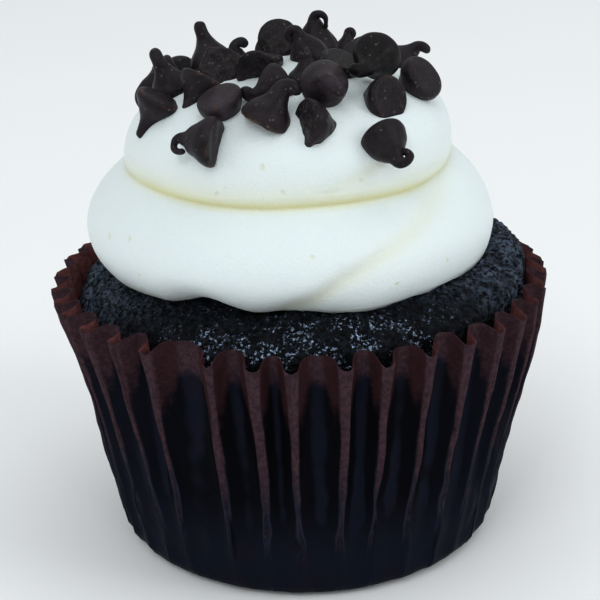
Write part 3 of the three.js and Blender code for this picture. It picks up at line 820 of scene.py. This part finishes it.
class Swirl:
    """The outline of the two laps, in millimetres."""

    underside_turns = [-80, -70, -62, -55, -48, -41, -34, -27, -20, -13, -6, 0]
    shoulder_shares = [i / 24 for i in range(1, 25)]
    under_shares = [i / 8 for i in range(1, 8)]
    top_turns = [2 * i for i in range(26)] + [54, 58, 62, 66, 70, 74, 78, 82, 86]

    def __init__(self, settings):
        self.lower_radius = settings.lower_radius / MM
        self.lower_waist = settings.lower_waist / MM
        self.upper_radius = settings.upper_radius / MM
        self.upper_waist = settings.upper_waist / MM
        self.rows = 2 + len(self.underside_turns) + len(self.shoulder_shares)
        self.rows += len(self.under_shares) + len(self.top_turns) + 1

    def shoulder(self, azimuth, height):
        turn = math.radians(azimuth)
        rise = LOWER_SHOULDER + 0.8 * math.sin(turn) - math.cos(turn)
        rise += 0.4 * bump(azimuth, -65, 35) - 0.8 * bump(azimuth, -5, 50) - 2.1 * bump(azimuth, 50, 50)
        share = clamp01((height - self.lower_waist) / rise)
        return self.lower_radius * math.sqrt(1 - share * share)

    def underside(self, azimuth, height):
        share = clamp01((self.upper_waist + climb(azimuth) - height) / upper_drop(azimuth))
        return self.upper_radius - UPPER_TUBE + UPPER_TUBE * math.sqrt(1 - share * share)

    def crease(self, azimuth):
        low = self.lower_waist
        high = self.upper_waist + climb(azimuth)
        for _ in range(30):
            middle = (low + high) / 2
            if self.shoulder(azimuth, middle) > self.underside(azimuth, middle):
                low = middle
            else:
                high = middle
        return low

    def column(self, azimuth):
        crease = self.crease(azimuth)
        outline = [(0, 0), (13, 0)]
        for turn in self.underside_turns:
            angle = math.radians(turn)
            radius = self.lower_radius - LOWER_TUBE + LOWER_TUBE * math.cos(angle)
            height = self.lower_waist + edge_drop(azimuth) * math.sin(angle)
            outline.append((radius - lower_hollow(azimuth, height) + sway(azimuth, 40), height))
        for share in self.shoulder_shares:
            height = mix(self.lower_waist, crease, share)
            soft = (1 - share) * sway(azimuth, 40)
            radius = self.shoulder(azimuth, height) + soft - lower_hollow(azimuth, height)
            outline.append((radius, height))
        waist = self.upper_waist + climb(azimuth)
        for share in self.under_shares:
            height = mix(crease, waist, share)
            outline.append((self.underside(azimuth, height), height))
        for turn in self.top_turns:
            angle = math.radians(turn)
            share = math.cos(angle) ** (2 / UPPER_POWER)
            height = self.upper_waist + climb(azimuth) * share
            height += UPPER_RISE * math.sin(angle) ** (2 / UPPER_POWER)
            radius = (self.upper_radius + 0.5 * sway(azimuth, 110)) * share
            outline.append((radius - UPPER_SEAM_DEPTH * upper_seam(azimuth, height), height))
        outline.append((0, self.upper_waist + UPPER_RISE))
        return outline


class CUPCAKE_OT_frosting(bpy.types.Operator):
    """Pipes the two laps of the frosting swirl onto the cake"""

    bl_idname = "cupcake.frosting"
    bl_label = "Frosting"
    bl_options = {"REGISTER", "UNDO"}

    def execute(self, context):
        settings = context.scene.cupcake_frosting
        cake = context.scene.cupcake_cake
        swirl = Swirl(settings)
        columns = 360
        outlines = [swirl.column(360 * column / columns) for column in range(columns)]
        underside_rows = 2 + len(swirl.underside_turns)

        def place(column, row):
            radius, height = outlines[column][row]
            azimuth = 360 * column / columns
            point = polar(azimuth, radius, height)
            risen = clamp01((height - swirl.upper_waist) / UPPER_RISE)
            point.x += FROSTING_SHIFT + UPPER_LEAN * risen
            if row < underside_rows:
                point.z = max(point.z, dome_height(point.x, point.y, cake) + 0.1)
            return point

        piece = shaped(tube("swirl", swirl.rows, columns), columns, place)
        displaced(piece, "CLOUDS", 9, 0.22, noise_depth=1)
        displaced(piece, "CLOUDS", 2.5, 0.09, noise_depth=1)

        # Where the cream is painted in shade: the crease, the lower lap's underside and the two seams.
        def deep(point):
            azimuth = math.degrees(math.atan2(point.x - FROSTING_SHIFT, -point.y))
            away = point.z - swirl.crease(azimuth)
            crease = min(1, 1.35 * math.exp(-away / 1.25)) if away > 0 else math.exp(-((away / 0.3) ** 2))
            crease *= mix(1, 0.5, smooth(45, 85, abs(azimuth)))
            under = 0.8 * smooth(swirl.lower_waist - 4.2, swirl.lower_waist - 6.8, point.z)
            lower = 0.36 * lower_seam(azimuth, point.z, 1.5, 0.8)
            upper = 0.4 * upper_seam(azimuth, point.z, 1.1, 1.3) * smooth(0, 0.6, away)
            return max(crease, under, lower, upper)

        marked(piece, "deep", deep)
        dressed(piece, frosting_material(settings), "frosting", "frosting")
        return {"FINISHED"}


BUBBLE_WOBBLE = 0.5
# Burst air bubbles in the cream: place and size, in millimetres.
BUBBLES = [
    (-26.2, -14.8, 49.4, 0.6), (-23.1, -18.5, 50.3, 0.5), (1.1, -27.9, 50.7, 0.45),
    (13.0, -24.2, 49.8, 0.4), (19.0, -19.4, 46.8, 0.5), (12.0, -25.1, 45.7, 0.4),
    (-21.8, -20.8, 46.0, 0.4), (-5.2, -22.0, 60.9, 0.65), (-10.0, -21.2, 58.0, 0.4),
    (-11.2, -21.0, 57.2, 0.35), (-2.6, -23.0, 57.8, 0.4), (7.7, -20.8, 58.6, 0.4),
]


def bubble_group():
    """A small hollow round a centre: 1 in its middle, 0 outside."""
    inputs = {"Vector": None, "Centre": None, "Radius": 0.0005}
    group, nodes, given, leave = new_group("bubble", inputs, ["Mask"])
    away = nodes.vector_math("DISTANCE", given["Vector"], given["Centre"])
    share = nodes.math("DIVIDE", away, given["Radius"])
    nodes.fill(leave, {"Mask": nodes.ramp(share, 1.0, 0.35)})
    return group


def frosting_material(settings):
    material, nodes, shader, place = new_material("frosting_cream")
    grain = grained(nodes, place, 2700, 90)
    # The deep cream mixed in is painted shade, and the bubbles' hollows below are painted in shade too.
    cream = nodes.blend(nodes.times(nodes.attribute("deep"), 0.92), settings.cream, settings.deep)
    ragged = nodes.add("ShaderNodeTexNoise", {"Vector": place, "Scale": 1400.0})
    shift = nodes.vector_math("MULTIPLY", ragged.outputs["Color"], [BUBBLE_WOBBLE * MM] * 3)
    rough_place = nodes.vector_math("ADD", place, shift)
    cells = nodes.cells(rough_place, 110.0)
    rare = nodes.math("GREATER_THAN", cells["Color"], 0.72)
    hollow = nodes.times(rare, nodes.ramp(cells["Distance"], 0.055, 0.02))
    group = bubble_group()
    for *centre, radius in BUBBLES:
        middle = [(value + BUBBLE_WOBBLE / 2) * MM for value in centre]
        inputs = {"Vector": rough_place, "Centre": middle, "Radius": radius * MM}
        bubble = nodes.add("ShaderNodeGroup", inputs, node_tree=group)
        hollow = nodes.math("MAXIMUM", hollow, bubble.outputs["Mask"])
    shaded = nodes.blend(nodes.times(hollow, 0.4), cream, tinted(settings.deep, 0.9, 0.9, 0.9))
    normal = nodes.bumped(grain["Height"], 0.16, 0.8)
    nodes.fill(shader, {
        "Base Color": shaded,
        "Roughness": 0.40,
        "Specular IOR Level": 0.32,
        "Subsurface Weight": 0.12,
        "Subsurface Radius": (1.0, 0.9, 0.6),
        "Subsurface Scale": 1.2 * MM,
        "Normal": nodes.bumped(nodes.times(hollow, -1.0), 0.15, 0.6, normal),
    })
    return material


# --- Chocolate drops ---

DROP_SIDES = 48
# Outlines as (radius, height): the flat side, the belly, and tips that are stout, drawn out thin, or long
# enough for a closed loop.
FLAT_SIDE = [
    (0.25, 0), (0.5, 0), (0.8, 0), (1.1, 0), (1.4, 0), (1.7, 0), (2.0, 0), (2.25, 0), (2.5, 0),
    (2.7, 0.02), (2.86, 0.08), (2.97, 0.17), (3.06, 0.3),
]
BELLY = [
    (3.13, 0.5), (3.14, 0.85), (3.06, 1.25), (2.9, 1.7), (2.66, 2.2), (2.36, 2.7), (2.04, 3.2),
    (1.74, 3.7),
]
TIPS = {
    "stout": [
        (1.48, 4.2), (1.27, 4.7), (1.12, 5.2), (1.02, 5.7), (0.96, 6.2), (0.93, 6.7), (0.9, 7.1),
        (0.84, 7.5), (0.7, 7.85), (0.46, 8.08), (0.2, 8.17), (0, 8.2),
    ],
    "thin": [
        (1.36, 4.2), (1.06, 4.7), (0.85, 5.2), (0.72, 5.7), (0.64, 6.2), (0.59, 6.7), (0.57, 7.2),
        (0.56, 7.7), (0.55, 8.2), (0.5, 8.6), (0.32, 8.85), (0, 8.95),
    ],
    "loop": [
        (1.36, 4.2), (1.0, 4.7), (0.8, 5.2), (0.66, 5.7), (0.55, 6.3), (0.46, 7.0), (0.4, 7.7),
        (0.37, 8.3), (0.35, 8.8), (0.22, 9.05), (0, 9.1),
    ],
}
CURL_START = 4.4
# The drops' solids: corners of a ring, radius of the flat side, height, and the bend below which one
# counts as straight.
NODE_SIDES = 8
NODE_BASE_RADIUS = 2.95
NODE_HEIGHT = 8.0
STRAIGHT_BEND = 0.05
# Drops whose flat side broke rough, and by how many millimetres.
ROUGH_BASES = {
    "chip_07": 0.7, "chip_10": 0.15, "chip_20": 0.3, "chip_22": 0.3, "chip_23": 0.6, "chip_27": 0.2,
}
# Drops whose flat side is hollow, how deep, and the radius of that hollow.
HOLLOW_BASES = {"chip_07": 0.4, "chip_23": 1.3}
HOLLOW_RADIUS = 2.6
# How much of a drop's rim is rubbed brown.
RUBBED_USUAL = -0.1
RUBBED_RIMS = {
    "chip_04": 0.4, "chip_05": 0.3, "chip_07": -0.5, "chip_10": -0.5, "chip_20": -0.4, "chip_21": 0.4,
    "chip_22": 0.8, "chip_27": 0.1,
}
# Bites out of drops: centre and radius.
BITES = {"chip_10": [(-6.3, 6.0, 69.9, 2.0)], "chip_20": [(2.2, -22.0, 62.9, 1.3)]}
# How a tip curls over: where it starts, its radius, its turn in degrees and its outline. What is left
# of the tip after the turn runs straight.
CURLS = {
    "chip_08": (4.9, 0.95, 150, "stout"), "chip_11": (5.0, 0.8, 205, "thin"),
    "chip_12": (4.7, 0.95, 185, "loop"), "chip_13": (5.0, 0.48, 270, "thin"),
    "chip_15": (4.6, 1.0, 130, "stout"), "chip_16": (4.8, 0.95, 150, "stout"),
    "chip_19": (4.8, 0.8, 215, "thin"), "chip_20": (4.3, 0.85, 215, "thin"),
    "chip_21": (4.6, 0.95, 100, "stout"), "chip_22": (4.6, 1.0, 150, "stout"),
    "chip_27": (4.7, 0.84, 275, "loop"),
}
# The curl of any other drop whose solid bends further than this.
TIGHT_CURL = (5.0, 0.74, 245, "thin")
TIGHT_BEND = 125
# Drops that are shorter than their solids, as a share of their height.
SHORT_DROPS = {"chip_25": 0.7}
# Drops that are paler (over 1) or darker (under 1) than the rest: partly their own tone, and partly painted
# light, as chip_06 and chip_21 are made paler for the sheen on their lit faces.
DROP_TONE_AND_SHEEN = {
    "chip_02": 0.75, "chip_03": 0.85, "chip_06": 1.9, "chip_10": 0.7, "chip_12": 0.8, "chip_15": 0.4,
    "chip_19": 0.85, "chip_20": 1.05, "chip_21": 1.6, "chip_26": 0.6,
}


class DropPose:
    """Where a drop's solid lies: its frame, size, curl and what is left of its height."""

    def __init__(self, node):
        corners = {}
        neighbours = {}
        mesh = node.data
        for face in mesh.polygons:
            keys = []
            for index in face.vertices:
                point = mesh.vertices[index].co / MM
                key = tuple(round(value, 2) for value in point)
                corners[key] = point
                keys.append(key)
            for key in keys:
                neighbours.setdefault(key, set()).update(keys)
        poles = [key for key, found in neighbours.items() if len(found) == NODE_SIDES + 1]

        def reach(key):
            return max((corners[other] - corners[key]).length for other in neighbours[key])

        base = max(poles, key=reach)
        rings = [{base}]
        seen = {base}
        while len(seen) < len(corners):
            ring = set().union(*(neighbours[key] for key in rings[-1])) - seen
            rings.append(ring)
            seen |= ring
        centres = [sum((corners[key] for key in sorted(ring)), Vector()) / len(ring) for ring in rings]
        self.size = reach(base) / NODE_BASE_RADIUS
        axis = (centres[2] - centres[0]).normalized()
        spine = sum((b - a).length for a, b in zip(centres, centres[1:])) / self.size
        last = (centres[-1] - centres[-2]).normalized()
        self.bend = math.acos(max(-1, min(1, last.dot(axis))))
        across = centres[-1] - centres[0]
        if self.bend < STRAIGHT_BEND:
            self.bend = 0
            across = corners[min(rings[1])] - centres[0]
        across -= across.dot(axis) * axis
        forward = across.normalized()
        self.stub = min(1, spine / NODE_HEIGHT)
        self.matrix = Matrix((axis.cross(forward), -forward, axis)).transposed().to_4x4()
        self.matrix.translation = centres[0] * MM
        self.matrix @= Matrix.Scale(self.size, 4)


def finer(outline, step):
    """The same outline with a point at least every step millimetres, eased between the old ones."""
    fine = [outline[0]]
    for index in range(len(outline) - 1):
        before = outline[max(0, index - 1)]
        start, end = outline[index], outline[index + 1]
        after = outline[min(len(outline) - 1, index + 2)]
        parts = max(1, math.ceil(math.dist(start, end) / step))
        for part in range(1, parts + 1):
            t = part / parts
            point = [
                0.5 * (
                    2 * b + (c - a) * t + (2 * a - 5 * b + 4 * c - d) * t * t
                    + (3 * b - a - 3 * c + d) * t ** 3
                )
                for a, b, c, d in zip(before, start, end, after)
            ]
            fine.append((max(0, point[0]), point[1]))
    return fine


def drop_master(name, tip):
    """One straight drop on its flat side, with the start of its curl at the origin."""
    outline = FLAT_SIDE + finer(BELLY + tip, 0.22)
    deselect()
    bpy.ops.mesh.primitive_circle_add(
        vertices=DROP_SIDES, radius=outline[0][0] * MM, fill_type="TRIFAN",
        location=(0, 0, -CURL_START * MM),
    )
    piece = bpy.context.object
    piece.name = name
    bpy.ops.object.transform_apply(location=True, rotation=True, scale=True)
    bpy.ops.object.mode_set(mode="EDIT")
    bpy.ops.mesh.select_all(action="SELECT")
    bpy.ops.mesh.flip_normals()
    bpy.ops.mesh.select_all(action="DESELECT")
    bpy.ops.mesh.select_mode(type="EDGE")
    bpy.ops.mesh.select_non_manifold()
    for (radius, height), (wider, higher) in zip(outline, outline[1:]):
        rise = (higher - height) * MM
        scale = max(wider, 0.001) / radius
        middle = (0, 0, (higher - CURL_START) * MM)
        bpy.ops.mesh.extrude_region_move(TRANSFORM_OT_translate={"value": (0, 0, rise)})
        bpy.ops.transform.resize(value=(scale, scale, 1), center_override=middle)
    bpy.ops.mesh.select_mode(type="VERT")
    bpy.ops.mesh.select_all(action="SELECT")
    bpy.ops.mesh.remove_doubles(threshold=0.01 * MM)
    bpy.ops.mesh.normals_make_consistent(inside=False)
    bpy.ops.object.mode_set(mode="OBJECT")
    skin = piece.vertex_groups.new(name="skin")
    flat = piece.vertex_groups.new(name="flat_side")
    for point in piece.data.vertices:
        height = point.co.z / MM + CURL_START
        skin.add([point.index], mix(0.25, 1, smooth(0, 1.2, height)), "REPLACE")
        flat.add([point.index], smooth(1.2, 0.1, height), "REPLACE")
    bpy.ops.object.shade_smooth()
    return piece


class CUPCAKE_OT_drops(bpy.types.Operator):
    """Sets a chocolate drop, with its own curl and lumps, where each drop of the model lies"""

    bl_idname = "cupcake.drops"
    bl_label = "Chocolate drops"
    bl_options = {"REGISTER", "UNDO"}

    def execute(self, context):
        settings = context.scene.cupcake_drops
        masters = {kind: drop_master(f"{kind}_drop", tip) for kind, tip in TIPS.items()}
        material = chocolate_material(settings)
        for name in sorted(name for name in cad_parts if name.startswith("chip_")):
            pose = DropPose(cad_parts[name])
            pose.stub *= SHORT_DROPS.get(name, 1)
            curl = CURLS.get(name) or (TIGHT_CURL if pose.bend > math.radians(TIGHT_BEND) else None)
            kind = curl[-1] if curl else "stout"
            height = TIPS[kind][-1][1] * pose.stub
            self.set_drop(masters[kind], height, name, pose, curl, settings, material)
        for master in masters.values():
            bpy.data.objects.remove(master)
        return {"FINISHED"}

    def set_drop(self, master, height, name, pose, curl, settings, material):
        if curl:
            start, radius, turn, _ = curl
            turn = math.radians(turn)
        else:
            start = CURL_START
            turn = pose.bend
            radius = (NODE_HEIGHT * pose.stub - CURL_START) / turn if turn else 0
        piece = master.copy()
        piece.data = master.data.copy()
        piece.name = name.replace("chip", "drop")
        bpy.context.scene.collection.objects.link(piece)
        pick(piece)
        bpy.ops.object.mode_set(mode="EDIT")
        bpy.ops.mesh.select_all(action="SELECT")
        foot = (0, 0, -CURL_START * MM)
        bpy.ops.transform.resize(value=(1, 1, pose.stub), center_override=foot)
        bpy.ops.transform.translate(value=(0, 0, (CURL_START - start) * MM))
        bpy.ops.object.mode_set(mode="OBJECT")
        if turn:
            bend = piece.modifiers.new("curl", "SIMPLE_DEFORM")
            bend.deform_method = "BEND"
            bend.deform_axis = "X"
            end = min(height, start + radius * turn)
            bend.angle = -(end - start) / radius
            bend.limits = (start / height, end / height)
            bpy.ops.object.modifier_apply(modifier=bend.name)
        piece.matrix_world = pose.matrix @ Matrix.Translation((0, 0, start * MM))
        bpy.ops.object.transform_apply(location=True, rotation=True, scale=True)
        self.rub(piece, pose, RUBBED_RIMS.get(name, RUBBED_USUAL), name in ROUGH_BASES)
        marked(piece, "tone_and_sheen", lambda point: DROP_TONE_AND_SHEEN.get(name, 1))
        displaced(piece, "CLOUDS", 2.6, 2 * settings.wobble / MM, "skin", noise_depth=1)
        if name in ROUGH_BASES:
            displaced(piece, "CLOUDS", 1.6, 1.6 * ROUGH_BASES[name], "flat_side", noise_depth=2)
            displaced(piece, "VORONOI", 0.9, 0.4 * ROUGH_BASES[name], "flat_side")
        self.bite(piece, pose, BITES.get(name, []), HOLLOW_BASES.get(name, 0))
        dressed(piece, material, "chocolate", name)

    def bite(self, piece, pose, bites, hollow):
        """Takes round bites out of a drop and hollows its flat side."""
        into = (pose.matrix.to_3x3() @ Vector((0, 0, 1))).normalized()
        middle = pose.matrix.translation
        for point in piece.data.vertices:
            if hollow:
                away = point.co - middle
                along = away.dot(into)
                across = (away - along * into).length / (HOLLOW_RADIUS * pose.size * MM)
                depth = hollow * MM * max(0, 1 - across * across) * smooth(1.0, 0.2, along / MM)
                point.co += into * depth
            for x, y, z, radius in bites:
                away = point.co - Vector((x, y, z)) * MM
                if away.length < radius * MM:
                    point.co += away.normalized() * (radius * MM - away.length)

    def rub(self, piece, pose, rim_share, broken):
        """Marks where a drop is rubbed brown: along its rim, and all over a broken side."""
        back = pose.matrix.inverted()

        def rubbed(point):
            place = back @ (point * MM) / MM
            radius = math.hypot(place.x, place.y)
            rim = math.exp(-(((place.z - 0.15) / 0.28) ** 2)) * smooth(2.3, 2.8, radius)
            patch = smooth(0.25 - 0.9 * rim_share, 0.75 - 0.9 * rim_share, drift(point, 1.7) + 0.1)
            wear_and_highlight = rim * patch
            if broken:
                wear_and_highlight = max(wear_and_highlight, 0.05 * smooth(0.6, 0.1, place.z) * smooth(-0.1, 0.5, drift(point, 0.9, 5)))
            return wear_and_highlight

        def dusty(point):
            place = back @ (point * MM) / MM
            return mix(0.22, 0.8 if broken else 0.6, smooth(0.6, 0.1, place.z))

        marked(piece, "rubbed", rubbed)
        marked(piece, "dusty", dusty)


def chocolate_material(settings):
    material, nodes, shader, place = new_material("drop_chocolate")
    grain = grained(nodes, place, 2200, 320)
    film = nodes.ramp(grain["Slow"], 0.38, 0.70)
    surface = nodes.blend(film, settings.dark, settings.bloom)
    # Each drop's colour is scaled by its own factor: partly its tone, partly painted sheen.
    tone_and_sheen = nodes.attribute("tone_and_sheen")
    grey = nodes.add("ShaderNodeCombineXYZ", {0: tone_and_sheen, 1: tone_and_sheen, 2: tone_and_sheen}).outputs[0]
    surface = nodes.blend(1.0, surface, grey, "MULTIPLY")
    rough = nodes.ramp(nodes.noise(place, 1300, 3.0, 0.7), 0.35, 0.65)
    surface = nodes.blend(nodes.times(nodes.attribute("rubbed"), rough), surface, settings.flake)
    inputs = {"Vector": place, "Scale": 1500, "Rarity": 0.68, "Size": 0.22}
    flecks = nodes.add("ShaderNodeGroup", inputs, node_tree=fleck_group()).outputs["Mask"]
    powder = nodes.ramp(nodes.noise(place, 2400, 3.0, 0.7), 0.5, 0.66)
    powder = nodes.times(powder, nodes.attribute("dusty"), 0.28)
    dust = nodes.math("MAXIMUM", nodes.times(flecks, 0.75), powder)
    nodes.fill(shader, {
        "Base Color": nodes.blend(dust, surface, settings.dust),
        "Roughness": nodes.spread(film, 0.38, 0.5),
        "Specular IOR Level": 0.11,
        "Normal": nodes.bumped(grain["Height"], 0.09, 0.6),
    })
    return material


# --- Stage ---

CAMERA_ELEVATION = 20.56
CAMERA_AIM = (-4.91, 27.1)
CAMERA_ROLL = 0.01885
CAMERA_PIXELS = 1567.2
RIM_MIDDLE = 38.12
# Round soft lights: name, place and size in metres, watts and tint.
LIGHTS = [
    ("key", (-0.35, -0.75, 1.0), 0.55, 2.7, (0.96, 0.99, 1.0)),
    ("top", (0.15, 0.1, 1.2), 1.4, 3.0, (0.97, 1.0, 1.0)),
    ("fill", (0.85, -0.35, 0.55), 0.5, 2.4, (0.96, 0.99, 1.0)),
    ("side", (-0.95, -0.35, 0.45), 0.5, 1.0, (0.96, 0.99, 1.0)),
    ("glint_left", (-0.3, -0.9, 0.75), 0.10, 0.25, (0.9, 0.96, 1.0)),
    ("glint_right", (0.35, -0.9, 0.8), 0.10, 0.25, (0.9, 0.96, 1.0)),
]
LIGHTS_AIM = Vector((0, 0, 0.045))


class CUPCAKE_OT_stage(bpy.types.Operator):
    """Lays the floor, hangs the soft lights and places the camera"""

    bl_idname = "cupcake.stage"
    bl_label = "Stage"
    bl_options = {"REGISTER", "UNDO"}

    def execute(self, context):
        settings = context.scene.cupcake_stage
        self.lay_floor(settings)
        self.hang_lights(context)
        self.place_camera(context, settings)
        return {"FINISHED"}

    def lay_floor(self, settings):
        deselect()
        bpy.ops.mesh.primitive_plane_add(size=settings.floor_size, location=(0, 0, 0))
        floor = bpy.context.object
        floor.name = "floor"
        bpy.ops.object.transform_apply(location=True, rotation=True, scale=True)
        material, nodes, shader, place = new_material("floor_board")
        faint = nodes.ramp(nodes.noise(place, 8.0, 2.0), 0.3, 0.7)
        nodes.fill(shader, {
            "Base Color": nodes.blend(faint, settings.floor, tinted(settings.floor, 0.985, 0.985, 0.985)),
            "Roughness": 0.9,
            "Specular IOR Level": 0.0,
        })
        floor.data.materials.append(material)

    def hang_lights(self, context):
        for name, place, size, watts, tint in LIGHTS:
            deselect()
            aim = (LIGHTS_AIM - Vector(place)).to_track_quat("-Z", "Y").to_euler()
            bpy.ops.object.light_add(type="AREA", location=place, rotation=aim)
            light = bpy.context.object
            light.name = name
            light.data.shape = "DISK"
            light.data.size = size
            light.data.energy = watts
            light.data.color = tint
        world = bpy.data.worlds.new("studio")
        context.scene.world = world
        world.use_nodes = True
        background = world.node_tree.nodes["Background"]
        Nodes(world.node_tree).fill(background, {"Color": (0.93, 0.975, 1.0, 1), "Strength": 0.58})
        context.scene.view_settings.view_transform = "Standard"

    def place_camera(self, context, settings):
        tilt = math.radians(CAMERA_ELEVATION)
        back = Vector((0, -math.cos(tilt), math.sin(tilt)))
        up = Vector((0, math.sin(tilt), math.cos(tilt)))
        right = Vector((1, 0, 0))
        across, down = CAMERA_AIM
        towards = (right * across / CAMERA_PIXELS - up * down / CAMERA_PIXELS - back).normalized()
        level = right - up * CAMERA_ROLL
        level = (level - level.dot(towards) * towards).normalized()
        turn = Matrix((level, level.cross(towards), -towards)).transposed()
        place = Vector((0, 0, RIM_MIDDLE * MM)) + back * settings.camera_distance
        deselect()
        bpy.ops.object.camera_add(location=place, rotation=turn.to_euler())
        camera = bpy.context.object
        camera.name = "camera"
        camera.data.sensor_width = 36
        camera.data.lens = settings.lens
        camera.data.clip_start = 0.01
        camera.data.clip_end = 20
        camera.data.dof.use_dof = False
        context.scene.camera = camera


# --- Sidebar ---

OPERATORS = [
    CUPCAKE_OT_paper_case,
    CUPCAKE_OT_cake,
    CUPCAKE_OT_frosting,
    CUPCAKE_OT_drops,
    CUPCAKE_OT_stage,
]
SETTINGS = {
    "cupcake_case": CaseSettings,
    "cupcake_cake": CakeSettings,
    "cupcake_frosting": FrostingSettings,
    "cupcake_drops": DropSettings,
    "cupcake_stage": StageSettings,
}


class CUPCAKE_PT_sidebar(bpy.types.Panel):
    """Lists the cupcake's pieces and their settings"""

    bl_idname = "CUPCAKE_PT_sidebar"
    bl_label = "Cupcake"
    bl_space_type = "VIEW_3D"
    bl_region_type = "UI"
    bl_category = "Cupcake"

    def draw(self, context):
        for operator, (name, settings) in zip(OPERATORS, SETTINGS.items()):
            box = self.layout.box()
            box.operator(operator.bl_idname)
            for field in settings.__annotations__:
                box.prop(getattr(context.scene, name), field)


def register():
    for settings in SETTINGS.values():
        bpy.utils.register_class(settings)
    for name, settings in SETTINGS.items():
        setattr(bpy.types.Scene, name, bpy.props.PointerProperty(type=settings))
    for operator in OPERATORS:
        bpy.utils.register_class(operator)
    bpy.utils.register_class(CUPCAKE_PT_sidebar)


def unregister():
    bpy.utils.unregister_class(CUPCAKE_PT_sidebar)
    for operator in reversed(OPERATORS):
        bpy.utils.unregister_class(operator)
    for name, settings in SETTINGS.items():
        delattr(bpy.types.Scene, name)
        bpy.utils.unregister_class(settings)


def main():
    register()
    bpy.ops.cupcake.paper_case()
    bpy.ops.cupcake.cake()
    bpy.ops.cupcake.frosting()
    bpy.ops.cupcake.drops()
    bpy.ops.cupcake.stage()
    deselect()


if __name__ == "__main__":
    main()
